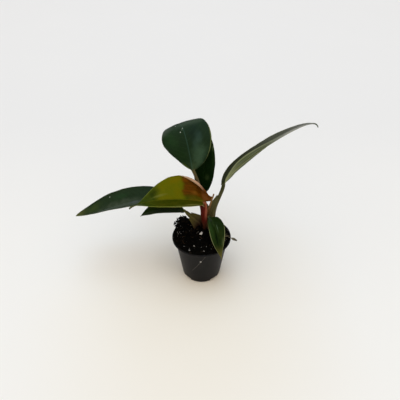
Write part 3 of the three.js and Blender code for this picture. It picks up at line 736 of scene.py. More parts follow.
# Upper leaf: the light grey-green patches are painted sheen and the dark teal one in its middle is painted
# shade; the pale specks and the olive margin are its own.
UPPER_SHEEN_AND_MARKS = [
    (0.55, 0.3, 0.09, 0.9, "#465444", 0.5, 1.0), (0.57, -0.85, 0.12, 0.4, "#525a52", 0.48, 1.0),
    (0.36, 0.35, 0.16, 0.5, "#0a1c14", 0.8, 1.0), (0.3, 0.5, 0.1, 0.2, "#2e443c", 0.45, 1.0),
    (0.24, 0.3, 0.08, 0.16, "#2c423a", 0.35, 1.0),
    (0.12, 0.5, 0.16, 0.5, "#3c5440", 0.62, 1.0), (0.03, 0.1, 0.07, 0.7, "#405034", 0.5, 1.0),
    (0.36, -0.7, 0.2, 0.4, "#1a361a", 0.6, 1.0), (0.16, -0.6, 0.12, 0.6, "#142c0c", 0.7, 1.0),
    (0.02, -0.8, 0.06, 0.3, "#54641e", 0.7, 1.0), (0.24, 0.985, 0.2, 0.04, "#626c3e", 0.7),
    (0.58, -0.3, 0.009, 0.022, SPECK, 0.6, 0.4), (0.43, -0.15, 0.009, 0.024, SPECK, 0.75, 0.4),
    (0.48, -0.02, 0.01, 0.024, SPECK, 0.6, 0.4), (0.46, -0.06, 0.02, 0.04, "#5c6a58", 0.5),
]
# Back leaf: lighter green streaks that are painted highlights on its dark face, and a lighter band by its
# right margin.
BACK_SHEEN_AND_MARKS = [
    (0.73, 0.45, 0.04, 0.2, "#425434", 0.6, 1.0), (0.3, 0.35, 0.06, 0.3, "#2e3e22", 0.6, 1.0),
    (0.6, 0.8, 0.25, 0.2, "#1e3416", 0.5, 1.0), (0.76, 0.9, 0.06, 0.2, "#566446", 0.6, 1.0),
]
# Left leaf: the grey and bluish-grey patches over its near half are painted sheen; the pale speck is its
# own.
LEFT_SHEEN_AND_MARKS = [
    (0.55, -0.4, 0.42, 0.72, "#4c5446", 0.8, 1.0), (0.4, -0.2, 0.05, 0.25, "#565860", 0.5, 1.0),
    (0.8, 0.4, 0.1, 0.5, "#38461c", 0.6, 1.0), (0.5, 0.55, 0.1, 0.25, "#1a381a", 0.45, 1.0),
    (0.66, -0.4, 0.08, 0.4, "#5a605e", 0.5, 1.0), (0.612, 0.73, 0.006, 0.03, SPECK, 0.7, 0.4),
]
# Young leaf: two pale painted highlights, a dark streak of painted shade in its far half, and bright lines
# along both margins that are painted rim light over the pale margin; the browns by the base are its own.
YOUNG_LIGHT_AND_MARKS = [
    (0.52, 0.28, 0.11, 0.09, "#747638", 0.42, 1.0), (0.57, 0.62, 0.1, 0.26, "#242c00", 0.7, 1.0),
    (0.23, -0.74, 0.15, 0.13, "#847c3e", 0.6, 1.0), (0.31, 0.85, 0.08, 0.2, "#6e5e00", 0.6, 1.0),
    (0.2, 0.8, 0.05, 0.14, "#784206", 0.6), (0.11, 0.3, 0.05, 0.1, "#784e16", 0.5),
    (0.6, -0.96, 0.4, 0.06, "#76882c", 0.7), (0.36, -0.975, 0.16, 0.04, "#969c68", 0.6),
    (0.76, 0.96, 0.22, 0.06, "#708232", 0.6),
]
# Front leaf: two pale streaks of painted highlight, a lighter green that is painted light on the half that
# faces the light, and a near black painted shade along the fold; the olives are its own.
FRONT_LIGHT_AND_MARKS = [
    (0.28, 0.2, 0.12, 0.2, "#3a4e28", 0.5), (0.4, 0.72, 0.3, 0.42, "#2a421c", 0.7, 1.0),
    (0.62, 0.12, 0.24, 0.32, "#000c00", 0.9, 1.0), (0.58, -0.45, 0.14, 0.3, "#1e2804", 0.6, 1.0),
    (0.4, -0.2, 0.12, 0.05, "#546850", 0.6), (0.7, -0.8, 0.1, 0.3, "#4c5434", 0.6, 1.0),
]

# What each look holds: upper and under have two mottled tones and a third for flecks or veins. vein, rib,
# under_rib and edge have a colour and its share, and tip also where it begins.
GREEN = dict(
    upper=("#142613", "#1b2e19", "#283c26"), tip=("#464c22", 0.82, 0.7),
    vein=("#30462c", 0.22), under=("#525c3a", "#5e6642", "#78805c"),
    rib=("#3e543c", 0.4), under_rib=("#96986c", 0.6), edge=("#686a42", 0.5),
    edge_from=(0.0, 0.03), stalk_light="#786e54", rough=0.42, specular=0.05,
    stalk=[(0.0, "#3c281a"), (0.25, "#4a3e24"), (0.7, "#545234"), (1.0, "#5c603e")])
LOOKS = dict(
    upper=dict(
        patches=UPPER_SHEEN_AND_MARKS, upper=("#102310", "#172a15", "#283c26"),
        rib=("#345046", 0.3), specular=0.06, stalk_light="#7c6854",
        stalk=[(0.0, "#281e14"), (0.3, "#3a3220"), (0.7, "#544632"), (1.0, "#5c5436")]),
    back=dict(
        patches=BACK_SHEEN_AND_MARKS, upper=("#061802", "#0a1d05", "#182c10"), specular=0.02,
        vein=("#1a2e10", 0.22), rib=("#1c2e12", 0.25), edge=("#42522c", 0.7)),
    young=dict(
        paint=young_paint, paint_under=young_under, patches=YOUNG_LIGHT_AND_MARKS, rough=0.38, specular=0.03,
        upper=("#424c04", "#4e5206", "#68680e"), tip=("#323e04", 0.7, 0.6),
        vein=("#64620a", 0.16), under=("#ac8468", "#b8947a", "#c4a288"),
        rib=("#6e6610", 0.35), under_rib=("#964632", 0.2), edge=("#969046", 0.55),
        stalk=[(0.0, "#22140e"), (0.2, "#422216"), (0.35, "#541810"),
               (0.7, "#5c1a12"), (1.0, "#603810")],
        # The pink down one side of its stalk is a painted highlight.
        stalk_light="#783226", stalk_highlight=(-0.9, -1.7, "#a8644e")),
    left=dict(
        patches=LEFT_SHEEN_AND_MARKS, upper=("#162410", "#1c2a16", "#283c26"),
        rib=("#324230", 0.25), tip=("#525428", 0.84, 0.8), stalk_light="#783c2e",
        stalk=[(0.0, "#2c140e"), (0.2, "#5c2016"), (0.6, "#60261a"),
               (0.85, "#4e3c22"), (1.0, "#48442a")]),
    right=dict(
        paint_under=right_under, under_rib=("#96986c", 0.1), specular=0.06,
        stalk=[(0.0, "#3e2c1c"), (0.25, "#50462a"), (0.6, "#545234"),
               (0.9, "#3e4026"), (1.0, "#34381e")]),
    low_left=dict(
        upper=("#1e300c", "#253710", "#2e3c1a"), rib=("#243214", 0.2),
        # The near black at the foot is painted shade low in the crown, over the stalk's own brown.
        stalk=[(0.0, "#0c0706"), (0.2, "#1c100d"), (0.35, "#38281e"),
               (0.5, "#4c422a"), (0.65, "#58522e"), (1.0, "#58582c")],
        stalk_light="#544a2e", specular=0.03),
    front=dict(
        patches=FRONT_LIGHT_AND_MARKS, upper=("#122204", "#1a2a08", "#2e3e16"), specular=0.04,
        rib=("#384c22", 0.35), tip=("#5c5428", 0.72, 0.9),
        edge=("#969c6c", 0.7), edge_from=(0.3, 0.55)))

for number, (name, leaf) in enumerate(LEAVES.items()):
    leaf_name = name + "_leaf"
    material = leaf_material(leaf_name, leaf["width"], number + 2.0, {**GREEN, **LOOKS[name]})
    mesh = leaf_mesh(leaf_name, leaf, 11 * (number + 1))
    add_piece(mesh, material, "leaf_" + name)


# Pot
ROUNDING_STEPS = 6
WALL_STEP = 3
POT_SIDES = 144
SCRATCH = ((-9.7, 19.8), (4.8, 46.6))
FLECK = (-0.9, 36.8)


def pot_profile():
    """Radius and height down the outside and up the inside, with rounded corners."""
    inner_base = BASE_RADIUS - WALL_THICKNESS + WALL_SLOPE * FLOOR_THICKNESS
    inner_top = WALL_TOP_RADIUS - WALL_THICKNESS
    lip_bottom = POT_HEIGHT - LIP_THICKNESS
    corners = [
        (0, 0.5, 0), (14.5, 0.5, 0.4), (15.2, 0, 0.4), (BASE_RADIUS - 0.1, 0, BASE_ROUNDING),
        (WALL_TOP_RADIUS - WALL_SLOPE * 3.8, lip_bottom - 2, 1.4), (WALL_TOP_RADIUS + 0.5, lip_bottom, 0.8),
        (LIP_RADIUS, lip_bottom, 0.6), (LIP_RADIUS, POT_HEIGHT, 0.7), (inner_top, POT_HEIGHT, 0.5),
        (inner_base, FLOOR_THICKNESS, 1.2), (0, FLOOR_THICKNESS, 0)]
    line = [np.array(corners[0][:2], float)]
    for before, (x, z, rounding), after in zip(corners, corners[1:], corners[2:]):
        here = np.array([x, z], float)
        sides = [np.array(other[:2]) - here for other in (before, after)]
        lengths = [np.linalg.norm(side) for side in sides]
        cut = min(rounding, 0.45 * lengths[0], 0.45 * lengths[1])
        start, end = (here + cut * side / length for side, length in zip(sides, lengths))
        line += [(1 - k) ** 2 * start + 2 * k * (1 - k) * here + k * k * end
                 for k in np.linspace(0, 1, ROUNDING_STEPS)]
    line.append(np.array(corners[-1][:2], float))
    # The long wall is split up, so that it takes fine relief
    full = [line[0]]
    for a, b in zip(line, line[1:]):
        parts = max(1, int(np.linalg.norm(b - a) / WALL_STEP))
        full += [a + (b - a) * k / parts for k in range(1, parts + 1)]
    return np.array(full)


def notch_cutter(number):
    """A block whose outward edges are rounded, at the place of one notch."""
    block = bmesh.new()
    bmesh.ops.create_cube(block, size=1.0)
    size = 2 * NOTCH["depth"] * MM, NOTCH["width"] * MM, 2 * NOTCH["height"] * MM
    bmesh.ops.scale(block, verts=block.verts, vec=size)
    outward = [e for e in block.edges if (e.verts[0].co - e.verts[1].co).yz.length < 1e-9]
    bmesh.ops.bevel(block, geom=outward, offset=0.9 * MM, segments=4, affect="EDGES", profile=0.5)
    bmesh.ops.translate(block, verts=block.verts, vec=(BASE_RADIUS * MM, 0, 0))
    c, s = cos_sin((number + 0.5) * 2 * math.pi / NOTCH["count"] + math.radians(NOTCH["turn"]))
    for vertex in block.verts:
        x, y, z = vertex.co
        vertex.co = x * c - y * s, x * s + y * c, z
    mesh = bpy.data.meshes.new("notch_cutter")
    block.to_mesh(mesh)
    block.free()
    return add_object(mesh)


def pot_mesh():
    """The turned shell, with a notch cut out of the base in four places."""
    profile = pot_profile()[1:-1]
    angles = 2 * math.pi * np.arange(POT_SIDES) / POT_SIDES
    rings = np.stack([profile[:, :1] * np.cos(angles), profile[:, :1] * np.sin(angles),
                      profile[:, 1:] * np.ones(POT_SIDES)], -1)
    shell = add_object(make_mesh("nursery_pot_shell", *closed_loft(rings)))
    cutters = [notch_cutter(number) for number in range(NOTCH["count"])]
    for cutter in cutters:
        cutting = shell.modifiers.new("notch", "BOOLEAN")
        cutting.operation = "DIFFERENCE"
        cutting.solver = "EXACT"
        cutting.object = cutter
    bpy.context.view_layer.update()
    mesh = bpy.data.meshes.new_from_object(shell.evaluated_get(bpy.context.evaluated_depsgraph_get()))
    mesh.name = "nursery_pot"
    for thing in [shell, *cutters]:
        bpy.data.objects.remove(thing)
    return mesh


def pot_material():
    """Black plastic: faint drawn streaks, dust towards the rim, small scuffs and one long scratch."""
    m = Shade("pot_plastic_black")
    where = m.place()
    x, y, z = m.split(where)
    angle = m.math("ARCTAN2", y, x)
    in_front = m.math("LESS_THAN", y, 0.0)
    streak = m.noise(m.vector(angle * 9.0, z * 18.0, 0.0), 3.0, 3.0, 0.6)
    cloud = m.noise(where, 55.0, 3.0, 0.55)
    dust_spots = m.noise(where, 900.0, 2.0, 0.6)
    dust = dust_spots.step(0.62, 0.74) * (z.step(0.03, 0.05) * 0.6 + 0.25)
    # A line across the front, given by where it starts and ends on the wall
    (x0, z0), (x1, z1) = SCRATCH
    run = (x - x0 * MM) / ((x1 - x0) * MM)
    wander = (m.noise(m.vector(run * 2.0, 0.0, 0.0), 3.0, 2.0) - 0.5) * 0.0012
    off = abs(z + wander - (run * ((z1 - z0) * MM) + z0 * MM))
    scratch = off.step(0.00038, 0.0001) * run.band(0.03, 0.97, 0.05) * in_front
    scratch = scratch * (m.noise(m.vector(run * 9.0, 0.0, 4.0), 2.0, 2.0) * 0.7 + 0.45)
    fleck = m.length(x - FLECK[0] * MM, (z - FLECK[1] * MM) * 0.8) + (dust_spots - 0.5) * 0.0014
    fleck = fleck.step(0.0011, 0.0005) * in_front
    scuff = m.noise(m.vector(angle * 2.0, z * 260.0, 2.0), 6.0, 2.0, 0.5).step(0.66, 0.72) * 0.35
    colour = m.mix(cloud.step(0.3, 0.7), "#101012", "#161618")
    for share, tint in (
            (streak.step(0.45, 0.8) * 0.35, "#282726"), (dust * 0.35, "#54534e"),
            (scratch * 0.75, "#807c76"), (scuff * 0.3, "#464442"),
            (fleck * 0.9, "#b0aeac")):
        colour = m.mix(share, colour, tint)
    rough = (cloud - 0.5) * 0.16 + scratch * 0.2 + 0.42 + dust * 0.2
    relief = m.noise(where, 1600.0, 2.0, 0.5) * 0.5 + (streak * 0.8 + scratch * -0.8)
    return m.finish(colour, rough, 0.09, relief, 0.00006, 0.6)


add_piece(pot_mesh(), pot_material(), "pot", sharp=38)


# Soil
CRUMBS = 1500
SOIL_SIDES = 220
SOIL_RINGS = 66
SOIL_EDGE = 29.9
SOIL_PLAY = 0.15
LUMP_SHARPNESS = 32
HEAP_SCATTER = 3.4
HEAP_REACH = 32.2
STRAND_REACH = 29.5
GRAIN_RISE = 0.65 * 0.75


def random_place(draw, outer, least=0.0):
    """A random place within a circle round the origin."""
    angle, distance = draw.uniform(0, 2 * math.pi), outer * math.sqrt(draw.uniform(least, 1))
    return distance * math.cos(angle), distance * math.sin(angle)


def nearest_within(x, y, limit):
    """The place itself, or the nearest one to it that the limit allows."""
    reach = math.hypot(x, y)
    return (x * limit / reach, y * limit / reach) if reach > limit else (x, y)


def lumpy(x, y, centres, sizes, heights):
    """The highest of many round bumps at each place."""
    total = np.zeros_like(x)
    for (cx, cy), size, height in zip(centres, sizes, heights):
        near = (np.abs(x - cx) < size) & (np.abs(y - cy) < size)
        if near.any():
            d = 1 - ((x[near] - cx) ** 2 + (y[near] - cy) ** 2) / size ** 2
            total[near] = np.maximum(total[near], height * np.sqrt(np.clip(d, 0, 1)))
    return total


def soil_rim(angle):
    """How far out the soil lies over the lip, round the pot."""
    x, y = WALL_TOP_RADIUS * np.cos(angle), WALL_TOP_RADIUS * np.sin(angle)
    ragged = waves(5, 9, 30, 2.2)(angle * WALL_TOP_RADIUS)
    return SOIL_EDGE + 0.55 * ragged + 0.8 * HEAP["overhang"] * heap_share(x, y)


def soil_surface(x, y):
    """The soil's height with its crumbs, at arrays of places."""
    draw = np.random.default_rng(3)
    angle, distance = draw.uniform(0, 2 * math.pi, CRUMBS), LIP_RADIUS * np.sqrt(draw.uniform(0, 1, CRUMBS))
    centres = np.stack([distance * np.cos(angle), distance * np.sin(angle)], 1)
    sizes = draw.uniform(0.5, 1.9, CRUMBS) * draw.uniform(0.6, 1, CRUMBS)
    fine = lumpy(x, y, centres, sizes, sizes * draw.uniform(0.35, 0.75, CRUMBS))
    return soil_base(x, y) + fine + 0.35 * waves(8, 7, 16, 3, dims=2)(x, y) - 0.25


def soil_height(x, y):
    return float(soil_surface(np.array([x]), np.array([y]))[0])


def soil_mesh():
    """The bed: from the stem's hole over the surface and the lip, and down inside the wall."""
    angles = -2 * math.pi * np.arange(SOIL_SIDES) / SOIL_SIDES
    c, s = np.cos(angles), np.sin(angles)
    rim = soil_rim(angles)
    hole = STEM["radius"] - 0.6
    hole_x, hole_y = STEM["x"] + hole * c, STEM["y"] + hole * s
    rings = [(hole_x, hole_y, STEM["bottom"] - GAP)]
    for share in np.linspace(0, 1, SOIL_RINGS):
        x, y = hole_x * (1 - share) + rim * c * share, hole_y * (1 - share) + rim * s * share
        drop = smooth(np.hypot(x, y), rim - 2.2, rim)
        edge_height = POT_HEIGHT + 0.45 + 0.5 * HEAP["height"] * heap_share(x, y)
        z = soil_surface(x, y)
        z = z * (1 - drop) + np.minimum(z, edge_height) * drop
        rings.append((x, y, np.maximum(z, POT_HEIGHT - 2.5)))
    inner = WALL_TOP_RADIUS - WALL_THICKNESS - SOIL_PLAY
    bottom = FLOOR_THICKNESS + SOIL_PLAY
    low = BASE_RADIUS - WALL_THICKNESS - SOIL_PLAY + WALL_SLOPE * bottom
    levels = [(rim - 0.25, POT_HEIGHT + 0.12), (inner, POT_HEIGHT + 0.05)]
    levels += [(inner + (low - inner) * share, POT_HEIGHT + (bottom - POT_HEIGHT) * share)
               for share in (0.02, 0.5, 0.97, 1.0)]
    rings += [(radius * c, radius * s, height) for radius, height in levels]
    rings = [np.stack([x, y, z + 0 * x], 1) for x, y, z in rings]
    return make_mesh("potting_soil_bed", *closed_loft(np.array(rings)))


def ball(level):
    """Points and triangles of an even ball."""
    shape = bmesh.new()
    bmesh.ops.create_icosphere(shape, subdivisions=level, radius=1.0)
    points = np.array([v.co[:] for v in shape.verts])
    faces = [[v.index for v in f.verts] for f in shape.faces]
    shape.free()
    return points, faces


def lump_mesh(name, lumps, level, seed, facets=7, flat=0.75, cut=(0.55, 0.9)):
    """Many small broken lumps in one mesh. Each lump is (x, y, z, radius) and gets a tone of its own."""
    draw = np.random.default_rng(seed)
    ball_points, ball_faces = ball(level)
    parts, tones = [], []
    for x, y, z, radius in lumps:
        directions = unit(draw.normal(size=(facets, 3)))
        shape = ball_points.copy()
        for direction, limit in zip(directions, draw.uniform(*cut, facets)):
            shape -= np.clip(shape @ direction - limit, 0, None)[:, None] * direction
        shape *= 1 + 0.1 * draw.normal(size=(len(shape), 1)) * (0.4 if level > 2 else 1)
        shape = shape * np.array([1, draw.uniform(0.7, 1), flat])
        c, s = cos_sin(draw.uniform(0, 2 * math.pi))
        px, py, pz = (shape * radius).T
        parts.append((np.stack([px * c - py * s, px * s + py * c, pz], 1) + (x, y, z), ball_faces))
        tones.append(draw.uniform())
    return make_mesh(name, *joined(parts), dict(tone=np.repeat(tones, len(ball_points))))


def clear_of_stalks(x, y, margin):
    """Whether a place is further than the margin from the stem and from each stalk's foot."""
    stalks = [(*leaf_foot(leaf)[0][:2], leaf["radius"][0]) for leaf in LEAVES.values()]
    stalks.append((STEM["x"], STEM["y"], STEM["radius"]))
    return all(math.hypot(x - sx, y - sy) >= radius + margin for sx, sy, radius in stalks)


def scatter(seed, count, smallest, largest, outer=30.4):
    """Lumps strewn over the soil and the lip, part sunk."""
    draw = np.random.default_rng(seed)
    lumps = []
    while len(lumps) < count:
        x, y = random_place(draw, outer)
        radius = smallest + (largest - smallest) * draw.uniform() ** 2
        if clear_of_stalks(x, y, radius + 0.2):
            z = soil_height(x, y)
            if math.hypot(x, y) > WALL_TOP_RADIUS + 0.6:
                z = min(z, POT_HEIGHT + 0.4)
            lumps.append((x, y, z + radius * draw.uniform(-0.1, 0.4), radius))
    return lumps


def heap_lumps(seed, count):
    """Bigger clods that make up the heap at the back left and lean out over the lip."""
    draw = np.random.default_rng(seed)
    lumps = []
    for _ in range(count):
        x, y = (HEAP[axis] + draw.normal() * HEAP_SCATTER for axis in "xy")
        x, y = nearest_within(x, y, HEAP_REACH)
        lumps.append((x, y, float(soil_base(x, y)) + draw.uniform(-0.8, 1.0), draw.uniform(0.7, 2.0)))
    return lumps


def soil_material(name, low, high, light, light_share):
    """Dark damp peat: crumbs of several tones with pale grains between them."""
    m = Shade(name)
    where = m.place()
    patch = m.noise(where, 160.0, 4.0, 0.65)
    colour = m.mix((patch * 0.7 + m.tone() * 0.5).step(0.3, 0.85), low, high)
    grit = m.noise(where, 1300.0, 3.0, 0.7).step(0.64, 0.75) * light_share
    relief = m.noise(where, 900.0, 4.0, 0.7) + m.cells(where, 700.0) * 0.5
    return m.finish(m.mix(grit, colour, light), patch * 0.15 + 0.82, 0.03, relief, 0.00035, 0.9)


def perlite_material(name, low, high):
    """Chalky grains, mottled grey, with fine pits."""
    m = Shade(name)
    where = m.place()
    pits = m.cells(where, 1800.0)
    grey = m.noise(where, 600.0, 3.0, 0.6)
    colour = m.mix(grey.step(0.35, 0.7), low, high)
    colour = m.mix(m.tone().step(0.6, 1.0) * 0.6, colour, "#78746c")
    colour = m.mix(pits.step(0.25, 0.05) * 0.5, colour, "#78746e")
    return m.finish(colour, grey * 0.2 + 0.75, 0.2, pits + grey, 0.0003, 0.8)


def add_lumps(mesh, material, replaces=None):
    add_piece(mesh, material, replaces, sharp=LUMP_SHARPNESS)


# Clods at the heap's left end, which hang out over the lip, and spiky ones along its top
HEAP_CLODS = [
    (-28.4, 14.3, 54.8, 1.5), (-27.0, 16.4, 56.0, 1.4), (-25.8, 17.8, 57.3, 1.3), (-24.4, 18.6, 58.2, 1.4),
    (-27.6, 12.2, 53.4, 1.7), (-29.4, 13.2, 54.2, 0.9), (-29.0, 15.4, 56.0, 0.8), (-23.0, 19.2, 58.8, 1.3),
    (-21.2, 19.8, 59.2, 1.2), (-19.4, 20.2, 59.6, 1.2), (-26.4, 18.6, 58.6, 0.7), (-22.4, 20.6, 60.4, 0.6),
    (-17.6, 20.6, 59.6, 1.1), (-25.0, 15.5, 56.5, 1.8), (-26.0, 10.0, 52.6, 1.3), (-20.2, 21.0, 60.6, 0.6)]
dark = soil_material("potting_soil_dark", "#040403", "#0c0b09", "#322e26", 0.2)
add_piece(soil_mesh(), dark, "soil")
mixed = soil_material("soil_crumb_mixed", "#040403", "#0d0c0a", "#38362e", 0.25)
add_lumps(lump_mesh("soil_crumbs", scatter(21, 900, 0.28, 1.25), 1, 22), mixed)
brown = soil_material("soil_clod_mixed", "#050403", "#16120e", "#423a2e", 0.25)
clods = heap_lumps(31, 46) + HEAP_CLODS + scatter(32, 60, 0.9, 1.9, 29.6)
add_lumps(lump_mesh("soil_clods", clods, 2, 33), brown)

# The first lump of perlite is the big one, moved a little back and up from the middle of its solid
PERLITE_RADII = (2.4, 1.0, 0.9, 0.9)
PERLITE_SHIFT = (0, 1.4, 0.5)
white = perlite_material("perlite_white", "#ceccce", "#ecebea")
dusty = perlite_material("perlite_dusty", "#808080", "#aaa8a6")
for number, radius in enumerate(PERLITE_RADII):
    node = f"perlite_{number + 1}"
    low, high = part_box(node)
    middle = (np.array(low) + np.array(high)) / 2 / MM + ((0, 0, 0) if number else PERLITE_SHIFT)
    mesh = lump_mesh(f"perlite_lump_{number + 1}", [(*middle, radius)], 3, 50 + number, 6, 0.8, (0.35, 0.75))
    add_lumps(mesh, dusty if number else white, node)

# Smaller grains on the soil, at the rim on the left and in the heap, by place and radius
GRIT = [
    (-25.6, 3.4, 0.75), (-23.2, 3.0, 0.6), (-24.6, 0.8, 0.5), (-21.8, 1.2, 0.55), (-22.5, 9.5, 0.5),
    (-24.5, 13.0, 0.55), (-19.5, 17.5, 0.5), (-26.0, 9.0, 0.4), (-3.6, 3.4, 0.5), (-5.0, 1.5, 0.35),
    (8.5, -16.0, 0.4), (5.0, -19.0, 0.45), (12.0, -14.0, 0.4), (-15.5, -12.0, 0.4), (-1.5, -9.0, 0.35),
    (-18.0, -18.5, 0.45), (22.5, -8.0, 0.5), (24.5, -10.0, 0.4), (20.0, 10.5, 0.5), (-10.0, 18.5, 0.6)]
draw = np.random.default_rng(62)
GRIT += [(*random_place(draw, 27, 0.1), draw.uniform(0.18, 0.34)) for _ in range(26)]
grit = [(x, y, soil_height(x, y) + radius * GRAIN_RISE, radius) for x, y, radius in GRIT]
add_lumps(lump_mesh("perlite_grit", grit, 2, 61), dusty)


# Fibres, chip, dry sheath and stem
def oval_rings(place, side, out, width, height, angle):
    """Rings round a line of places, from its two directions across and the reach in each."""
    return (place[:, None] + (width * np.cos(angle))[..., None] * side[:, None]
            + (height * np.sin(angle))[..., None] * out[:, None])


def strand(path, radius, sides=6, count=24):
    """A thin round strand that tapers to both ends."""
    t = np.linspace(0, 1, count)
    point = curve(path, t)
    along = unit(np.gradient(point, axis=0))
    across = unit(np.cross(along, np.array([0.13, 0.21, 0.97])))
    size = radius * (0.35 + 0.65 * np.sin(math.pi * np.clip(t, 0.04, 0.96)) ** 0.5)[:, None]
    angle = 2 * math.pi * np.arange(sides) / sides
    return closed_loft(oval_rings(point, across, np.cross(across, along), size, size, angle))


def strands(name, paths, radius, seed, material):
    draw = np.random.default_rng(seed)
    parts, tones = [], []
    for path in paths:
        parts.append(strand(path, radius * draw.uniform(0.6, 1.3)))
        tones.append(draw.uniform())
    tones = np.repeat(tones, [len(points) for points, _ in parts])
    add_piece(make_mesh(name, *joined(parts), dict(tone=tones)), material)


def soil_strand(draw, x, y, angle, length, lift=0.5):
    """A bent strand that lies on the soil."""
    path = []
    for _ in range(5):
        path.append([x, y, 0])
        angle += draw.normal() * 0.5
        c, s = cos_sin(angle)
        x, y = nearest_within(x + length / 4 * c, y + length / 4 * s, STRAND_REACH)
    path = np.array(path)
    path[:, 2] = soil_surface(path[:, 0], path[:, 1]) + lift * draw.uniform(0.5, 1.4, 5)
    return path


def fibre_material(name, low, high):
    """A dry woody or papery skin with a fine grain."""
    m = Shade(name)
    grain = m.noise(m.place(), 700.0, 3.0, 0.6)
    colour = m.mix((grain * 0.6 + m.tone() * 0.5).step(0.3, 0.8), low, high)
    return m.finish(colour, grain * 0.25 + 0.7, 0.2, grain, 0.0002, 0.7)


draw = np.random.default_rng(71)
paths = []
for _ in range(34):
    x, y = random_place(draw, 26)
    if clear_of_stalks(x, y, 1.5):
        paths.append(soil_strand(draw, x, y, draw.uniform(0, 2 * math.pi), draw.uniform(3, 9)))
pale_paths = [soil_strand(draw, 20.5 + draw.uniform(-2, 3), draw.uniform(-7, 2), draw.uniform(-0.8, 0.8),
                          draw.uniform(4, 8), 0.9) for _ in range(9)]
strands("peat_fibres", paths, 0.13, 72, fibre_material("peat_fibre_brown", "#18110b", "#4a3826"))
beige = fibre_material("pale_fibre_beige", "#544c36", "#80785c")
strands("pale_fibres", pale_paths, 0.16, 73, beige)

FIBRE = [(22.5, -3, 52.7), (27, -3.5, 52.4), (32, -5, 50.9), (37, -8.4, 50.3)]
FIBRE_LENGTH = 17
FIBRE_SIDES = 16


def chip_mesh():
    """A thin root that ends in a flat chip of bark."""
    t = np.linspace(0, 1, 60)
    line = np.array(FIBRE, float)
    across = unit(np.cross((0, 0, 1), line[3] - line[0]))
    in_chip = np.clip((t - 0.6) / 0.4, 0, 1)
    ragged = waves(81, 7, 6, 0.8)(t * FIBRE_LENGTH)
    width = 0.34 + 1.5 * np.sin(math.pi * in_chip) ** 0.8 * (1 + 0.3 * ragged) * (in_chip < 1)
    thick = 0.24 + 0.2 * np.sin(math.pi * in_chip)
    place, _, side, out = frames(FIBRE, [across], t)
    angle = 2 * math.pi * np.arange(FIBRE_SIDES) / FIBRE_SIDES
    rough = 1 + 0.14 * waves(82, 9, 9, 0.9, dims=2)(t[:, None] * FIBRE_LENGTH, angle * 3)
    rings = oval_rings(place, side, out, width[:, None] * rough, thick[:, None] * rough, angle)
    tone = 1 - np.concatenate([np.repeat(in_chip, FIBRE_SIDES), [0, 1]])
    return make_mesh("bark_chip_fibre", *closed_loft(rings), dict(tone=tone))


def spike_mesh():
    """The dried sheath: a thin dry spike, folded along its length."""
    path = [(5.2, 13.8, 54.5), (5, 12, 66), (7.2, 10.6, 78), (12.4, 9.2, 98)]
    sheath = dict(wing=1.3, peak=0.25, end=1.0, ear=0, fold=55)
    rings = stalk_rings(path, [(1, 0, 0)], (0.6, 0.22), sheath, np.linspace(0, 1, 90))[0]
    points, faces = closed_loft(rings)
    wobble = 0.12 * waves(91, 6, 12, 2)(points[:, 2])
    points = points + np.stack([wobble, 0.6 * wobble, 0 * wobble], 1)
    return make_mesh("dry_sheath_spike", points, faces, dict(tone=smooth(points[:, 2], 60, 90)))


def stem_mesh():
    """The stub between the stalks' feet, with the scars of older leaves as low rings."""
    z = STEM["bottom"] + (STEM["top"] - STEM["bottom"]) * np.linspace(0, 1, 60)
    radius = STEM["radius"] * (1 - 0.3 * smooth(z, STEM["top"] - 3, STEM["top"]))
    radius = radius * (1 + 0.03 * np.sin(2 * math.pi * z / 2.3))
    angle = 2 * math.pi * np.arange(40) / 40
    uneven = 1 + 0.03 * waves(93, 6, 10, 1.5, dims=2)(z[:, None], angle * STEM["radius"])
    points, faces = closed_loft(np.stack([
        STEM["x"] + radius[:, None] * np.cos(angle) * uneven,
        STEM["y"] + radius[:, None] * np.sin(angle) * uneven, z[:, None] + 0 * angle], -1))
    return make_mesh("stem_stub", points, faces, dict(tone=smooth(points[:, 2], 45, 56)))


chip_brown = fibre_material("bark_chip_brown", "#3e362a", "#706854")
add_piece(chip_mesh(), chip_brown, "bark_fibre")
sheath_tan = fibre_material("dry_sheath_tan", "#58381a", "#80623e")
add_piece(spike_mesh(), sheath_tan, "dried_sheath")
add_piece(stem_mesh(), fibre_material("stem_brown", "#2c1e12", "#564224"), "stem")

# Floor, light and camera, with linear colours
# Each part of the room's light: its direction, where it begins and is full as a cosine, and its colour
ROOM = [
    ((0, -0.6, 0.8), 0.1, 1.0, (1.22, 1.09, 0.88)),
    ((-0.7, 0, 0.7), 0.1, 1.0, (0.37, 0.36, 0.33)),
    ((0, 1, 0), 0.1, 0.9, (0.3, 0.3, 0.3))]
LAMP_SIZE = 2.6
LAMP_AIM = Vector((0, 0, 0.05))


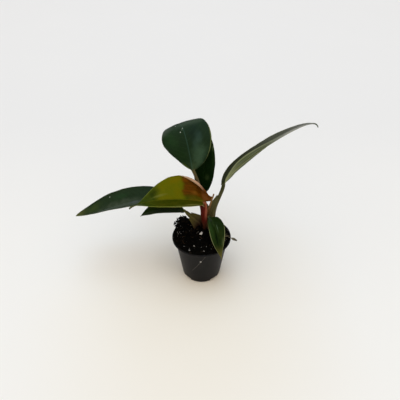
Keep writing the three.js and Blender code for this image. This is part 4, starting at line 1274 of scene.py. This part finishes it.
def floor_material():
    """Pale, lighter in front, with a warm darker zone of painted shadow round the pot and a spot of painted
    shadow beside it.
    """
    m = Shade("floor_pale")
    where = m.place()
    x, y, _ = m.split(where)
    cloud = (m.noise(where, 4.0, 3.0, 0.5) - 0.5) * 0.3
    colour = m.mix(y.step(0.45, -0.25) + cloud, (0.825, 0.803, 0.812), (0.905, 0.875, 0.862))
    # Painted warm shadow tone round the pot
    warm_shadow_zone = m.length((x + 0.01) * (1 / 0.13), (y + 0.09) * (1 / 0.2)) + cloud * 2.0
    colour = m.mix(warm_shadow_zone.step(1.5, 0.2) * 0.85, colour, (0.875, 0.815, 0.745))
    # Painted shadow beside the pot
    painted_shadow_spot = m.length((x + 0.032) * (1 / 0.02), (y - 0.016) * (1 / 0.022))
    colour = m.mix(painted_shadow_spot.step(1.6, 0.3) * 0.3, colour, (0.74, 0.69, 0.62))
    return m.finish(colour, 0.9, 0.1)


def area_light(name, place, power, colour):
    light = bpy.data.lights.new(name, "AREA")
    light.size = LAMP_SIZE
    light.energy = power
    light.color = colour
    lamp = add_object(light)
    lamp.location = place
    lamp.rotation_euler = (LAMP_AIM - Vector(place)).to_track_quat("-Z", "Y").to_euler()


def world_light():
    """A pale room, bright overhead and in front, with a light wall behind the plant."""
    world = bpy.data.worlds.new("studio")
    bpy.context.scene.world = world
    world.use_nodes = True
    room = Graph(world.node_tree)
    towards = room.node("TexCoord", {})
    total = (0, 0, 0)
    for direction, low, high, colour in ROOM:
        facing = room.node("VectorMath", {0: towards, 1: direction}, 1, operation="DOT_PRODUCT")
        light = {0: facing.step(low, high), 1: colour, 2: total}
        total = room.node("VectorMath", light, operation="MULTIPLY_ADD")
    room.feed(world.node_tree.nodes["Background"].inputs[0], total)


bpy.ops.mesh.primitive_plane_add(size=14, location=(0, 0, 0))
floor = bpy.context.object
floor.name = "floor"
floor.data.materials.append(floor_material())
world_light()
area_light("softbox_top", (0.0, 0.0, 3.8), 38, (0.37, 0.69, 1.0))
area_light("softbox_back", (0.0, 2.2, 3.2), 20, (0.4, 0.65, 1.0))

lens = bpy.data.cameras.new("camera")
lens.lens = 42
lens.sensor_width = 36
lens.clip_end = 100
camera = add_object(lens)
camera.location = (-0.0016, -0.3718, 0.3774)
camera.rotation_euler = (math.radians(53), 0, 0)
bpy.context.scene.camera = camera
bpy.context.scene.view_settings.view_transform = "Standard"
